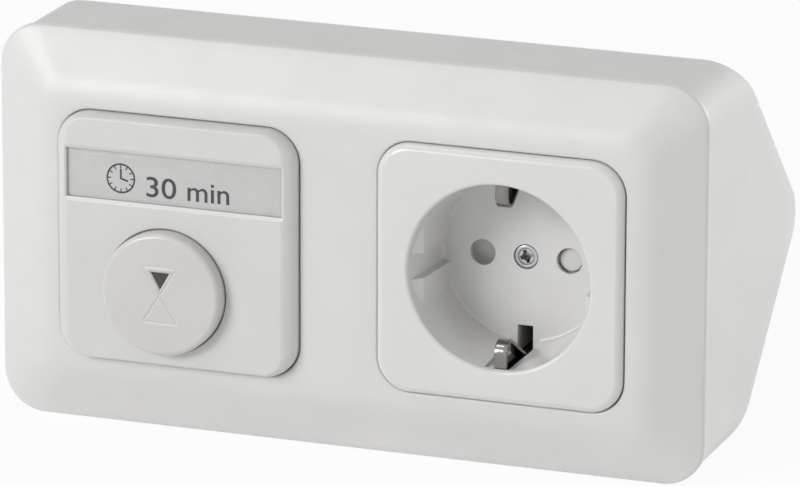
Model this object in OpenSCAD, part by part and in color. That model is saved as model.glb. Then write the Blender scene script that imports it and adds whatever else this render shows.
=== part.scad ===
// Corner-mounted surface box with a two-gang convex frame: an electronic timer push switch on the left
// and an earthed, shuttered socket outlet on the right.
// The front faces -Y, +X is to the right and +Z is up. The origin is the middle of the room corner's line,
// where the two 45 degree back faces would meet. Lengths are in millimetres.

/* [Gang layout] */
// Height of the frame, and its width round a single insert
frame_size = 85; // [84:0.5:92]
// Side of each square opening in the frame
opening_size = 54.3; // [53.6:0.1:55]
// Corner radius of each opening
opening_r = 7.6; // [6:0.2:10]
// Width of the frame's bar between the two openings
bar_w = 16.7; // [15.7:0.1:20]
// Gap between a cover and the frame's opening
cover_gap = 0.45; // [0.3:0.05:1]

/* [Front frame] */
// Corner radius of the frame's outline
frame_corner_r = 9; // [6:0.5:12]
// Rise of the frame's flat middle above its edge
frame_crown = 6; // [5:0.25:8]
// Width of the sloping band round the frame
band_w = 15; // [13:0.5:17]
// Straight part of the band, before it blends into the flat middle
band_straight = 9; // [6:0.5:11]
// Corner radius where the band meets the flat middle
plateau_r = 4; // [2:0.5:6]
// Wall thickness of the frame
frame_wall = 2.2; // [1.6:0.1:2.6]
// Height of the frame's upright lip
lip_h = 1.6; // [1.2:0.1:2.4]
// Rounding between the lip and the band
lip_r = 0.8; // [0.4:0.1:1]
// Wall of the collar that stands behind each opening
collar_wall = 1.2; // [0.8:0.1:1.6]
// Softened edge of each opening
opening_edge = 0.5; // [0.2:0.1:0.8]

/* [Corner box] */
// Distance from the frame's lip back to the room corner
corner_depth = 66.5; // [62:0.5:74]
// How far the frame overhangs the box all round
frame_overhang = 0.5; // [0:0.1:1]
// Wall thickness of the box
box_wall = 2; // [1.6:0.1:2.8]
// Rounding of the edge that points into the room corner
apex_r = 7.2; // [4:0.2:10]
// Radius of the four screw pillars
pillar_r = 3.5; // [3:0.1:4.2]
// Thickness of the ribs that tie the pillars to the walls
rib_t = 2; // [1.5:0.1:3]
// How far the ribs stop below the box's rim
rib_drop = 8; // [4:1:14]
// Distance between the two fixing holes in each back face
fixing_spacing = 100; // [80:1:116]
// Height of the fixing holes and the cable entry above or below the room corner
fixing_height = 21; // [18:0.5:25]
// Diameter of the fixing holes
fixing_d = 4.5; // [3.5:0.1:6]
// Diameter of the cable entry
entry_d = 16; // [13:0.5:20]

/* [Cable grommet] */
// Diameter of the cable hole through the grommet
grommet_bore_d = 8.4; // [6:0.2:9.6]
// Width of the grommet's inner flange beyond the entry
grommet_flange = 2.5; // [1.5:0.1:3]
// Thickness of the grommet's flange
grommet_flange_t = 1.5; // [1:0.1:2]
// Length of the grommet's tapered nozzle
grommet_nozzle_l = 5; // [3:0.5:7]

/* [Support rings] */
// Gap between the two neighbouring support rings
ring_gap = 0.4; // [0.2:0.1:1]
// Thickness of the ring's sheet steel
ring_t = 1.2; // [0.8:0.1:1.5]
// Corner radius of the rings
ring_r = 8; // [4:0.5:14]
// Shank radius of the ring screws
ring_screw_r = 1.5; // [1.2:0.1:1.7]
// Length of the ring screws under the head
ring_screw_l = 12; // [8:1:16]
// Head radius of the ring screws
ring_head_r = 2.5; // [2.2:0.05:2.6]
// Head height of the ring screws
ring_head_h = 1.8; // [1.2:0.1:2]
// Gap between a cover and the heads of its ring screws
ring_screw_gap = 0.8; // [0.4:0.1:1]

/* [Timer cover] */
// How far the timer cover stands proud of the frame
timer_proud = 3.2; // [2:0.1:5]
// Width of the rounded edge at the left and right of the timer cover's front
timer_edge_w = 2.4; // [1.4:0.1:2.5]
// Width of that edge at the top and bottom
timer_end_w = 0.8; // [0.5:0.1:1.4]
// Depth of that edge
timer_edge_h = 2.8; // [2:0.1:3]
// Rounding between the edge and the timer cover's face
timer_crease_r = 0.8; // [0.4:0.1:1.2]
// Wall thickness of the timer cover
timer_wall = 2; // [1.6:0.1:2.4]
// Width of the label window
window_w = 48.2; // [40:0.1:48.4]
// Height of the label window
window_h = 10.6; // [8:0.1:11]
// Distance of the window's centre from the timer cover's upper edge
window_drop = 12.9; // [12:0.1:13.6]
// How deep the clear window lies below the timer cover's face
window_sink = 0.4; // [0.3:0.1:0.6]
// Thickness of the clear window
window_t = 0.8; // [0.7:0.1:1]
// Bevel round the clear window
window_bevel = 0.8; // [0.3:0.1:0.9]
// Thickness of the label card
card_t = 0.4; // [0.2:0.1:0.6]
// Thickness of the shelf that carries the card
shelf_t = 1.4; // [1:0.1:1.6]

/* [Timer button] */
// Diameter of the button
button_d = 26.5; // [24:0.1:27]
// Gap between the button and its hole
button_gap = 0.45; // [0.3:0.05:0.6]
// Sideways place of the button from the timer's centre
button_x = -1.8; // [-2.4:0.1:2]
// Height of the button's centre from the timer's centre
button_y = -9.9; // [-10:0.1:-9]
// How far the button stands proud of its cover
button_proud = 3.3; // [2.5:0.1:5]
// Rounding of the button's rim
button_rim_r = 1.2; // [0.5:0.1:1.6]
// Wall thickness of the button
button_wall = 1.6; // [1.2:0.1:2]
// Width of the hidden flange that keeps the button in
button_flange = 1.2; // [1:0.05:1.3]
// Thickness of that flange
button_flange_t = 1.2; // [0.8:0.1:1.6]
// Travel of the button
button_travel = 1.3; // [0.8:0.1:1.5]
// Radius of the button's guide stem
stem_r = 3; // [2.4:0.1:3.4]
// Width of the triangular lens in the button
lens_w = 6; // [4:0.1:7]
// Height of the triangular lens
lens_h = 4.8; // [3:0.1:5.4]
// Depth of the lens below the button's face
lens_sink = 0.15; // [0:0.05:0.4]
// Wire diameter of the button's return spring
spring_wire_d = 0.6; // [0.4:0.05:0.8]
// Turns of the button's return spring
spring_turns = 5; // [3:1:6]

/* [Timer inside] */
// Gap between the housing's flange and the timer cover
housing_fit = 0.7; // [0.4:0.1:1.2]
// Wall thickness of the housing
housing_wall = 1.8; // [1.4:0.1:2.2]
// Width of the housing's flange beyond its sides
housing_flange = 1.7; // [1.2:0.1:1.8]
// Thickness of the housing's flange
housing_flange_t = 1.2; // [0.8:0.1:1.6]
// Thickness of the carrier plate behind the cover
carrier_t = 1.6; // [1.2:0.1:2]
// Outer radius of the guide tube for the button's stem
guide_r = 5; // [4.4:0.1:5.4]
// Height of the guide tube above the carrier plate
guide_h = 2.8; // [2:0.1:3.4]
// Depth of the circuit board's front below the frame's lip
board_depth = 6; // [5.6:0.1:7]
// Thickness of the circuit board
board_t = 1.6; // [1:0.1:2]
// Distance of the board's posts from the board's edges
post_inset = 3.4; // [3:0.1:4]
// Radius of the board's posts
post_r = 2; // [1.6:0.1:2.2]
// Side of the key switch
key_size = 6; // [5:0.1:7]
// Height of the key switch's body
key_h = 3.4; // [2.8:0.1:3.6]
// Radius of the key switch's plunger
key_plunger_r = 1.75; // [1.4:0.05:2]
// Height of the plunger above the switch's body
key_plunger_h = 1.8; // [1.6:0.1:2]
// Distance of the indicator light from the button's axis
led_offset = 9.2; // [8.8:0.1:9.6]
// Radius of the indicator light
led_r = 1.5; // [1:0.1:1.6]
// Height of the indicator light
led_h = 5; // [3:0.1:5.4]

/* [Circuit parts] */
// Length of the timing chip
chip_l = 9.6; // [8.4:0.1:12]
// Width of the timing chip
chip_w = 6.4; // [5:0.1:7]
// Height of the timing chip's body
chip_h = 3.2; // [2.4:0.1:4]
// Distance of the timing chip from the board's upper edge
chip_inset = 5.5; // [4:0.1:7]
// Length of the relay
relay_l = 19; // [15:0.1:20]
// Width of the relay
relay_w = 15; // [12:0.1:16]
// Height of the relay
relay_h = 15.2; // [12:0.1:17]
// Length of the film capacitor
film_l = 13; // [10:0.1:14]
// Width of the film capacitor
film_w = 6; // [4:0.1:8]
// Height of the film capacitor
film_h = 11; // [8:0.1:14]
// Diameter of the electrolytic capacitor
can_d = 8; // [6:0.1:10]
// Height of the electrolytic capacitor
can_h = 11; // [8:0.1:14]
// Diameter of the surge varistor
varistor_d = 10; // [7:0.1:11]
// Thickness of the surge varistor
varistor_t = 4; // [3:0.1:5]
// Distance of the back parts from the board's side edges
side_margin = 3.7; // [3:0.1:4.5]
// Distance of the upper back parts from the board's upper edge
upper_margin = 6.2; // [5.8:0.1:7]
// Distance of the lower back parts from the board's lower edge
lower_margin = 7.7; // [6.5:0.1:9]

/* [Terminals and wires] */
// Depth of the wire holes behind the frame's lip
terminal_depth = 31.4; // [30.8:0.1:32.4]
// Distance between neighbouring terminals of the timer
terminal_pitch = 9; // [8.6:0.1:10]
// Side of the square terminal clamps
clamp_size = 6; // [5:0.1:6.4]
// Radius of the terminal screws' shanks
terminal_screw_r = 1.4; // [1.1:0.1:1.6]
// Head radius of the terminal screws
terminal_head_r = 2.4; // [2:0.1:2.6]
// Head height of the terminal screws
terminal_head_h = 1.5; // [1:0.1:1.8]
// Diameter of the link wires
wire_d = 2.4; // [1.8:0.1:2.6]
// Bend radius of the link wires
wire_bend_r = 5; // [4:0.5:6]
// Height of the inner wire's run below the centre line
inner_wire_drop = 22; // [21:0.5:23]
// Distance between the runs of the two wires
wire_run_gap = 5; // [4:0.5:6]

/* [Socket cover] */
// How far the socket cover stands proud of the frame
socket_proud = 1.5; // [0.5:0.1:3]
// Width of the slope round the socket cover's front
socket_edge_w = 1.3; // [0.6:0.1:2]
// Depth of that slope
socket_edge_h = 1.5; // [0.6:0.1:2]
// Rounding between the slope and the socket cover's face
socket_crease_r = 0.6; // [0.3:0.1:1]
// Wall thickness of the socket cover
socket_wall = 1.8; // [1.4:0.1:2]
// Diameter of the plug well at its rim
well_d = 39.6; // [39:0.1:40]
// Diameter of the plug well at its floor
well_floor_d = 36.7; // [36:0.1:39]
// Depth of the plug well
well_depth = 17.5; // [16.5:0.1:18.5]
// Rounding of the well's rim
well_rim_r = 0.8; // [0.3:0.1:1.2]
// Distance of the flat side pads from the well's centre, at the floor
pad_x = 16.6; // [15.5:0.1:17]
// How far the pads lean outwards at their front ends
pad_lean = 1; // [0:0.1:1.2]
// Depth of the pads' front ends below the rim
pad_drop = 2; // [1:0.1:4]
// Depth of the slope at the pads' front ends
pad_ramp = 2; // [0.5:0.1:3]
// Width of the groove that splits each pad
pad_groove_w = 5.5; // [4:0.1:7]
// Distance between the two pin holes
pin_pitch = 19; // [18.8:0.1:19.2]
// Diameter of the pin holes
pin_hole_d = 5.5; // [5.2:0.1:6]
// Width of the flat channel behind each earth clip
channel_w = 6.5; // [5:0.5:13]
// Distance of the channel's flat bottom from the well's centre
channel_y = 19.9; // [19.4:0.1:20.4]
// Distance of each clip slot's inner end from the well's centre
slot_y = 14.8; // [14.4:0.1:16]

/* [Socket inside] */
// Radius of the round insert
insert_disc_r = 21; // [20.6:0.1:21.4]
// Thickness of the insert's front disc
insert_disc_t = 6; // [5:0.1:7]
// Width of the insert's body across its side flats
insert_w = 36; // [34:0.2:36.4]
// Radius of the shutter's recess
recess_r = 13.4; // [13:0.1:14]
// Depth of the shutter's recess
recess_depth = 2.4; // [2.2:0.1:3]
// Thickness of the shutter
shutter_t = 1.8; // [1.2:0.1:1.8]
// Half angle of each arm of the shutter, in degrees
shutter_half_angle = 19; // [18:0.5:21]
// Radius of the boss on which the shutter turns
shutter_boss_r = 3.5; // [3:0.1:3.8]
// Inner radius of the contact sleeves
sleeve_r = 2.5; // [2.45:0.01:2.6]
// Wall of the contact sleeves
sleeve_wall = 0.5; // [0.4:0.05:0.6]
// Distance of the socket's terminals from its centre line
socket_terminal_x = 12; // [11.5:0.1:12.5]
// Depth of the socket's terminals below its centre
socket_terminal_y = 7.6; // [7:0.1:8]
// Length of the support legs' feet
foot_l = 4; // [3:0.1:4.4]
// Width of the support legs
leg_w = 12; // [8:0.5:14]
// Head radius of the centre screw
centre_head_r = 2.6; // [2.2:0.1:2.7]

/* [Earth strap] */
// Thickness of the earth strap
strap_t = 0.8; // [0.6:0.05:1]
// Width of the earth clips
clip_w = 2.8; // [2.4:0.1:4]
// Width of the strap behind the well
strap_w = 7; // [6:0.1:8]
// Distance of each clip's nose from the well's centre
nose_y = 14.2; // [13.5:0.1:15]
// Depth of the nose below the socket's face
nose_depth = 4.6; // [4.2:0.1:6]
// Bend radius of the nose
nose_r = 2.4; // [1.8:0.1:2.6]

/* [Fits] */
// Gap round parts that slide or turn in each other
run_gap = 0.05; // [0.02:0.01:0.1]
// Gap round parts that drop into each other
seat_gap = 0.1; // [0.06:0.01:0.2]
// Gap round parts that pass through each other
pass_gap = 0.3; // [0.2:0.05:0.5]

/* [Hidden] */
$fn = 64;
arc_steps = 6;
coil_steps = 10;
cut = 1;
shell = "#e9e8e5";
steel = "#b9bbbd";
brass = "#c9a860";

// Heights above the frame's lip plane, positive towards the viewer
rim_z = -lip_h;
ring_front_z = rim_z + ring_t;
timer_face_z = frame_crown + timer_proud;
button_face_z = timer_face_z + button_proud;
socket_face_z = frame_crown + socket_proud;
cover_size = opening_size - 2 * cover_gap;
cover_r = opening_r - cover_gap;
module_pitch = opening_size + bar_w;
frame_w = frame_size + module_pitch;
ring_screw_pitch = cover_size + 2 * (ring_head_r + ring_screw_gap);

// Timer stack
window_y = cover_size / 2 - window_drop;
timer_inside_z = timer_face_z - timer_wall;
flange_front_z = ring_front_z + housing_flange_t;
carrier_front_z = flange_front_z + carrier_t;
housing_size = cover_size - 2 * (timer_wall + housing_fit + housing_flange);
flange_r = cover_r - timer_wall - housing_fit;
board_size = housing_size - 2 * (housing_wall + pass_gap);
post_offset = board_size / 2 - post_inset;
lower_row_y = lower_margin + can_d / 2 - board_size / 2;
board_z = -board_depth;
board_back_z = board_z - board_t;
key_top_z = board_z + key_h;
key_plunger_z = key_top_z + key_plunger_h;
button_r = button_d / 2;
button_ceiling_z = button_face_z - button_wall;
terminal_z = -terminal_depth;
terminal_floor = 1;
housing_back_z = terminal_z + clamp_size / 2 + terminal_floor;
terminal_block_z = terminal_z - clamp_size / 2 - terminal_head_h - terminal_floor;
terminal_y = -10;

// Socket stack
well_r = well_d / 2;
well_floor_z = socket_face_z - well_depth;
insert_front_z = well_floor_z - socket_wall;
insert_step_z = insert_front_z - insert_disc_t;
insert_back_z = terminal_z - clamp_size / 2 - terminal_head_h;
cup_r = well_r + socket_wall;
recess_z = insert_front_z - recess_depth;
leg_x = max(cup_r, insert_disc_r) + 4 * pass_gap;
strap_y = insert_disc_r + seat_gap + strap_t / 2;
slot_w = clip_w + 2 * pass_gap;
box_w = frame_w - 2 * frame_overhang;
box_h = frame_size - 2 * frame_overhang;
box_r = frame_corner_r - frame_overhang;

// Coordinates with x right, y up and z towards the viewer, from the middle of the frame's lip plane
module face_frame() { translate([0, -corner_depth, 0]) rotate([90, 0, 0]) children(); }
module at_timer() { face_frame() translate([-module_pitch / 2, 0, 0]) children(); }
module at_socket() { face_frame() translate([module_pitch / 2, 0, 0]) children(); }
module at_button() { at_timer() translate([button_x, button_y, 0]) children(); }

// Frame on one of the two back faces, with z out of the face: side is 1 for the upper one, -1 for the lower
module on_back_face(side) {
    face_frame() translate([0, side * fixing_height, fixing_height - corner_depth])
        rotate([-135 * side, 0, 0]) children();
}

module rounded_rect(w, h, r) {
    square([w - 2 * r, h], center = true);
    square([w, h - 2 * r], center = true);
    for (sx = [-1, 1], sy = [-1, 1]) translate([sx * (w / 2 - r), sy * (h / 2 - r)]) circle(r);
}

module slab(w, h, r, z0, z1) { translate([0, 0, z0]) linear_extrude(z1 - z0) rounded_rect(w, h, r); }

module block(w, h, z0, z1) { translate([-w / 2, -h / 2, z0]) cube([w, h, z1 - z0]); }

module post(r, z0, z1) { translate([0, 0, z0]) cylinder(r = r, h = z1 - z0); }

// Outline of a rounded rectangle at height z, anticlockwise
function outline(w, h, r, z) = [for (c = [0:3], k = [0:arc_steps])
    let (a = 90 * c + 90 * k / arc_steps, sx = c == 0 || c == 3 ? 1 : -1, sy = c < 2 ? 1 : -1)
    [sx * (w / 2 - r) + r * cos(a), sy * (h / 2 - r) + r * sin(a), z]];

// Closed skin through rings of equally many points
module loft(rings) {
    n = len(rings[0]);
    last = (len(rings) - 1) * n;
    points = [for (ring = rings, p = ring) p];
    sides = [for (i = [0:len(rings) - 2], j = [0:n - 1]) let (a = i * n + j, b = i * n + (j + 1) % n)
        each [[a, b + n, b], [a, a + n, b + n]]];
    polyhedron(points, concat(sides, [[for (j = [0:n - 1]) j]], [[for (j = [n - 1:-1:0]) last + j]]));
}

// Rounded square block whose front edge bows in over edge_w and edge_h, by end_w at its ends, and meets its
// face in a crease of crease_r: the bow (1 - cos a, sin a) stops where a third of the straight slope is left
module cushion_block(size, r, edge_w, end_w, edge_h, crease_r, z0, z1) {
    tilt = atan(edge_h / edge_w / 3);
    rise = edge_h - crease_r * (1 - cos(tilt));
    slack = tan(tilt) * edge_w / rise;
    turn = acos(slack / (1 - slack));
    bow = [for (k = [0:arc_steps]) let (a = turn * k / arc_steps)
        [edge_w * (1 - cos(a)) / (1 - cos(turn)), z1 - edge_h + rise * sin(a) / sin(turn)]];
    crease = [for (k = [1:arc_steps]) let (a = tilt * (1 - k / arc_steps))
        [edge_w + crease_r * (sin(tilt) - sin(a)), z1 - crease_r * (1 - cos(a))]];
    loft(concat([outline(size, size, r, z0)], [for (p = concat(bow, crease))
        outline(size - 2 * p[0], size - 2 * p[0] * end_w / edge_w, r - p[0], p[1])]));
}

// Screw with a slotted pan head: its head stands on z = 0 and its shank points to -z
module slotted_screw(shank_r, shank_l, head_r, head_h) {
    slot_t = head_r / 4;
    post(shank_r, -shank_l, 0);
    difference() {
        post(head_r, 0, head_h);
        block(3 * head_r, slot_t, head_h / 2, head_h + cut);
    }
}

// Height of the frame's band at a distance s in from its edge
band_slope = frame_crown / (band_straight + (band_w - band_straight) / 2);
function band_z(s) = s < band_straight ? band_slope * s
    : frame_crown - band_slope * pow(band_w - s, 2) / (2 * (band_w - band_straight));
function frame_ring(s, z) = outline(frame_w - 2 * s, frame_size - 2 * s,
    frame_corner_r + (plateau_r - frame_corner_r) * s / band_w, z);
blend_s = [for (k = [0:5]) band_straight + (band_w - band_straight) * k / 5];
lip_centre_z = lip_r * (band_slope - sqrt(1 + band_slope * band_slope));

module frame_outer() {
    arc_end = 90 - atan(band_slope);
    loft(concat([frame_ring(0, rim_z)],
        [for (k = [0:3]) let (a = arc_end * k / 3)
            frame_ring(lip_r * (1 - cos(a)), lip_centre_z + lip_r * sin(a))],
        [for (s = blend_s) frame_ring(s, band_z(s))]));
}

module frame_inner() {
    foot_z = band_z(frame_wall) - frame_wall;
    loft(concat([frame_ring(frame_wall, rim_z - cut), frame_ring(frame_wall, foot_z)],
        [for (s = blend_s) frame_ring(s, band_z(s) - frame_wall)]));
}

// Cutter for one opening, flared at the front by opening_edge
module opening_cutter() {
    wide = opening_size + 4 * opening_edge;
    loft([outline(opening_size, opening_size, opening_r, rim_z - cut),
        outline(opening_size, opening_size, opening_r, frame_crown - opening_edge),
        outline(wide, wide, opening_r + 2 * opening_edge, frame_crown + opening_edge)]);
}

module front_frame() {
    collar = opening_size + 2 * collar_wall;
    notch = ring_head_r + pass_gap;
    notch_z = ring_front_z + ring_head_h + pass_gap;
    color(shell) face_frame() difference() {
        union() {
            difference() {
                frame_outer();
                frame_inner();
            }
            for (side = [-1, 1]) translate([side * module_pitch / 2, 0, 0])
                slab(collar, collar, opening_r + collar_wall, ring_front_z, frame_crown - frame_wall / 2);
        }
        for (side = [-1, 1]) translate([side * module_pitch / 2, 0, 0]) {
            opening_cutter();
            block(ring_screw_pitch + 2 * notch, 2 * notch, rim_z - cut, notch_z);
        }
    }
}

// Side view of the box: two 45 degree planes that meet at depth apex, rounded by r
module wedge(half_h, apex, r, front) {
    t = r / sqrt(2);
    polygon([[half_h, front], [half_h, half_h - apex], [t, t - apex], [-t, t - apex],
        [-half_h, half_h - apex], [-half_h, front]]);
    translate([0, r * sqrt(2) - apex]) circle(r);
}

// Box body drawn in by wall on every side but the front
module box_body(wall, front) {
    intersection() {
        slab(box_w - 2 * wall, box_h - 2 * wall, box_r - wall, -corner_depth, front);
        rotate([90, 0, 90]) linear_extrude(box_w, center = true)
            wedge(box_h / 2 + cut, corner_depth - wall * sqrt(2), apex_r - wall, front);
    }
}

module pillars() {
    side_rib = (frame_w - module_pitch - ring_screw_pitch) / 2;
    middle_rib = (module_pitch - ring_screw_pitch) / 2;
    for (gang = [-1, 1], side = [-1, 1])
        translate([gang * module_pitch / 2 + side * ring_screw_pitch / 2, 0, 0]) {
            post(pillar_r, -corner_depth, rim_z);
            rib = gang == side ? side_rib : middle_rib;
            translate([side * rib / 2, 0, 0]) block(rib, rib_t, -corner_depth, rim_z - rib_drop);
        }
}

module corner_box() {
    pilot_l = ring_screw_l - ring_t + cut;
    color(shell) difference() {
        face_frame() {
            difference() {
                box_body(0, rim_z);
                box_body(box_wall, rim_z + cut);
            }
            intersection() {
                box_body(box_wall / 2, rim_z);
                pillars();
            }
        }
        face_frame() for (gang = [-1, 1], side = [-1, 1])
            translate([gang * module_pitch / 2 + side * ring_screw_pitch / 2, 0, 0])
                post(ring_screw_r + run_gap, rim_z - pilot_l, rim_z + cut);
        for (face = [-1, 1], side = [-1, 1]) on_back_face(face)
            translate([side * fixing_spacing / 2, 0, 0]) post(fixing_d / 2, -box_wall - cut, cut);
        on_back_face(1) post(entry_d / 2, -box_wall - cut, cut);
    }
}

module cable_grommet() {
    bore = grommet_bore_d / 2;
    body = entry_d / 2 - seat_gap;
    flange = entry_d / 2 + grommet_flange;
    nozzle_wall = 1.3;
    seat = -box_wall - run_gap;
    step = seat - grommet_flange_t;
    color("#3c3d3f") on_back_face(1) rotate_extrude() polygon([[bore, 0], [body, 0], [body, seat],
        [flange, seat], [flange, step], [bore + 2 * nozzle_wall, step],
        [bore + nozzle_wall, step - grommet_nozzle_l], [bore, step - grommet_nozzle_l]]);
}

// Support ring plate with its two screw holes
module ring_plate() {
    size = module_pitch - ring_gap;
    difference() {
        slab(size, size, ring_r, rim_z, ring_front_z);
        for (side = [-1, 1]) translate([side * ring_screw_pitch / 2, 0, 0])
            post(ring_screw_r + pass_gap, rim_z - cut, ring_front_z + cut);
    }
}

module ring_screws() {
    for (side = [-1, 1]) translate([side * ring_screw_pitch / 2, 0, ring_front_z])
        slotted_screw(ring_screw_r, ring_screw_l, ring_head_r, ring_head_h);
}

module timer_support_ring() {
    hole = housing_size + 2 * pass_gap;
    color(steel) at_timer() difference() {
        ring_plate();
        block(hole, hole, rim_z - cut, ring_front_z + cut);
    }
}

module timer_ring_screws() { color(steel) at_timer() ring_screws(); }

module timer_cover() {
    inside = cover_size - 2 * timer_wall;
    shelf_w = window_w + 2;
    shelf_h = window_h + 2;
    pocket_z = timer_face_z - window_sink - window_t - card_t;
    color(shell) at_timer() difference() {
        union() {
            difference() {
                cushion_block(cover_size, cover_r, timer_edge_w, timer_end_w, timer_edge_h, timer_crease_r,
                    ring_front_z, timer_face_z);
                slab(inside, inside, cover_r - timer_wall, ring_front_z - cut, timer_inside_z);
            }
            translate([0, window_y, 0]) block(shelf_w, shelf_h, pocket_z - shelf_t, timer_inside_z);
        }
        translate([button_x, button_y, 0]) post(button_r + button_gap, ring_front_z, timer_face_z + cut);
        translate([0, window_y, 0]) block(window_w, window_h, pocket_z, timer_face_z + cut);
    }
}

// Clear cover with bevelled front edges, sunk into the timer cover
module label_window() {
    w = window_w - 2 * seat_gap;
    h = window_h - 2 * seat_gap;
    front = timer_face_z - window_sink;
    edge_h = window_bevel / 2;
    color("#d9dcdd", 0.5) at_timer() translate([0, window_y, 0]) loft([
        outline(w, h, seat_gap, front - window_t),
        outline(w, h, seat_gap, front - edge_h),
        outline(w - 2 * window_bevel, h - 2 * window_bevel, seat_gap, front)]);
}

module label_card() {
    back = timer_face_z - window_sink - window_t - card_t;
    color("#c8c7c5") at_timer() translate([0, window_y, 0])
        block(window_w - 2 * pass_gap, window_h - 2 * pass_gap, back, back + card_t);
}

// Triangle that points down, lens_h high
module lens_outline(grow) {
    base_y = 0.3;
    polygon([[-lens_w / 2 - 1.5 * grow, base_y + lens_h + grow], [0, base_y - 2 * grow],
        [lens_w / 2 + 1.5 * grow, base_y + lens_h + grow]]);
}

module timer_button() {
    flange_z = timer_inside_z - seat_gap - button_flange_t;
    color(shell) at_button() difference() {
        union() {
            difference() {
                rotate_extrude() {
                    translate([0, flange_z]) square([button_r - button_rim_r, button_face_z - flange_z]);
                    translate([0, flange_z]) square([button_r, button_face_z - button_rim_r - flange_z]);
                    translate([button_r - button_rim_r, button_face_z - button_rim_r]) circle(button_rim_r);
                    translate([0, flange_z]) square([button_r + button_flange, button_flange_t]);
                }
                post(button_r - button_wall, flange_z - cut, button_ceiling_z);
            }
            post(stem_r, key_plunger_z + seat_gap, button_ceiling_z + button_wall / 4);
        }
        translate([0, 0, button_ceiling_z + button_wall / 4]) linear_extrude(button_wall)
            lens_outline(seat_gap);
    }
}

module button_lens() {
    back = button_ceiling_z + button_wall / 4;
    color("#4a4744") at_button() translate([0, 0, back]) linear_extrude(button_face_z - lens_sink - back)
        lens_outline(0);
}

// Rings of six points along a coil whose axis runs from z0 to z1
function coil_rings(turns, coil_r, wire_r, z0, z1) = [for (k = [0:turns * coil_steps])
    let (a = 360 * k / coil_steps, z = z0 + (z1 - z0) * k / (turns * coil_steps))
    [for (b = [0:60:300]) let (r = coil_r + wire_r * sin(b)) [r * cos(a), r * sin(a), z + wire_r * cos(b)]]];

module button_return_spring() {
    wire_r = spring_wire_d / 2;
    coil_r = guide_r + pass_gap + wire_r;
    color(steel) at_button() loft(coil_rings(spring_turns, coil_r, wire_r,
        carrier_front_z + run_gap + wire_r, button_ceiling_z - run_gap - wire_r));
}

module timer_carrier_plate() {
    size = housing_size + 2 * housing_flange;
    lug_w = 8;
    inside = cover_size - 2 * timer_wall - 2 * seat_gap;
    color("#d2d1cd") at_timer() difference() {
        union() {
            slab(size, size, flange_r, flange_front_z, carrier_front_z);
            for (y = [-1, 1]) translate([0, y * size / 3, 0])
                block(inside, lug_w, flange_front_z, carrier_front_z);
            for (sx = [-1, 1], sy = [-1, 1]) translate([sx * post_offset, sy * post_offset, 0])
                post(post_r, board_z, carrier_front_z);
            translate([button_x, button_y, 0]) post(guide_r, flange_front_z, carrier_front_z + guide_h);
        }
        translate([button_x, button_y, 0]) {
            post(stem_r + run_gap, flange_front_z - cut, carrier_front_z + guide_h + cut);
            translate([0, led_offset, 0]) post(led_r + pass_gap, flange_front_z - cut, carrier_front_z + cut);
        }
    }
}

module timer_housing() {
    flange = housing_size + 2 * housing_flange;
    inside = housing_size - 2 * housing_wall;
    floor_z = housing_back_z + housing_wall;
    color("#d7d6d2") at_timer() {
        difference() {
            union() {
                block(housing_size, housing_size, housing_back_z, flange_front_z);
                slab(flange, flange, flange_r, ring_front_z, flange_front_z);
            }
            block(inside, inside, floor_z, flange_front_z + cut);
        }
        for (sx = [-1, 1], sy = [-1, 1]) translate([sx * post_offset, sy * post_offset, 0])
            post(post_r, floor_z, board_back_z);
    }
}

module timer_circuit_board() {
    color("#2f6b45") at_timer() block(board_size, board_size, board_back_z, board_z);
}

module tact_switch() {
    color("#2b2b2d") at_button() difference() {
        block(key_size, key_size, board_z, key_top_z);
        post(key_plunger_r + run_gap, key_top_z - button_travel - 1.2, key_top_z + cut);
    }
}

module tact_plunger() { color("#1e1e20") at_button() post(key_plunger_r, key_top_z - 1, key_plunger_z); }

module indicator_led() {
    base_h = 1;
    color("#d9542b") at_button() translate([0, led_offset, board_z]) {
        post(led_r + 0.3, 0, base_h);
        post(led_r, 0, led_h - led_r);
        translate([0, 0, led_h - led_r]) sphere(led_r);
    }
}

module timer_chip() {
    stand_off = 0.4;
    leg_pitch = 2.54;
    leg_w = 0.6;
    leg_t = 0.3;
    color("#26272a") at_timer() translate([0, board_size / 2 - chip_inset - chip_w / 2, board_z]) {
        block(chip_l, chip_w, stand_off, stand_off + chip_h);
        for (side = [-1, 1], k = [-1.5:1:1.5]) translate([k * leg_pitch, side * (chip_w + leg_t) / 2, 0])
            block(leg_w, leg_t, 0, stand_off + chip_h / 2);
    }
}

module timer_relay() {
    x = side_margin + relay_l / 2 - board_size / 2;
    y = board_size / 2 - upper_margin - relay_w / 2;
    color("#2f4a78") at_timer() translate([x, y, board_back_z]) slab(relay_l, relay_w, 1, -relay_h, 0);
}

module film_capacitor() {
    x = board_size / 2 - side_margin - film_w / 2;
    y = board_size / 2 - upper_margin - film_l / 2;
    color("#b8892f") at_timer() translate([x, y, board_back_z]) slab(film_w, film_l, 0.8, -film_h, 0);
}

module electrolytic_capacitor() {
    bead_r = 0.5;
    x = board_size / 2 - side_margin - can_d / 2;
    color("#34353a") at_timer() translate([x, lower_row_y, board_back_z]) difference() {
        post(can_d / 2, -can_h, 0);
        translate([0, 0, -4 * bead_r]) rotate_extrude() translate([can_d / 2, 0]) circle(bead_r);
    }
}

module surge_varistor() {
    disc_r = varistor_d / 2;
    lead_r = 0.4;
    disc_z = -disc_r - 1;
    x = side_margin + disc_r - board_size / 2;
    color("#2a66a8") at_timer() translate([x, lower_row_y, board_back_z]) {
        translate([0, varistor_t / 2, disc_z]) rotate([90, 0, 0]) cylinder(r = disc_r, h = varistor_t);
        for (side = [-1, 1]) translate([side * disc_r / 2, 0, 0]) post(lead_r, disc_z + disc_r / 2, 0);
    }
}

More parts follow.
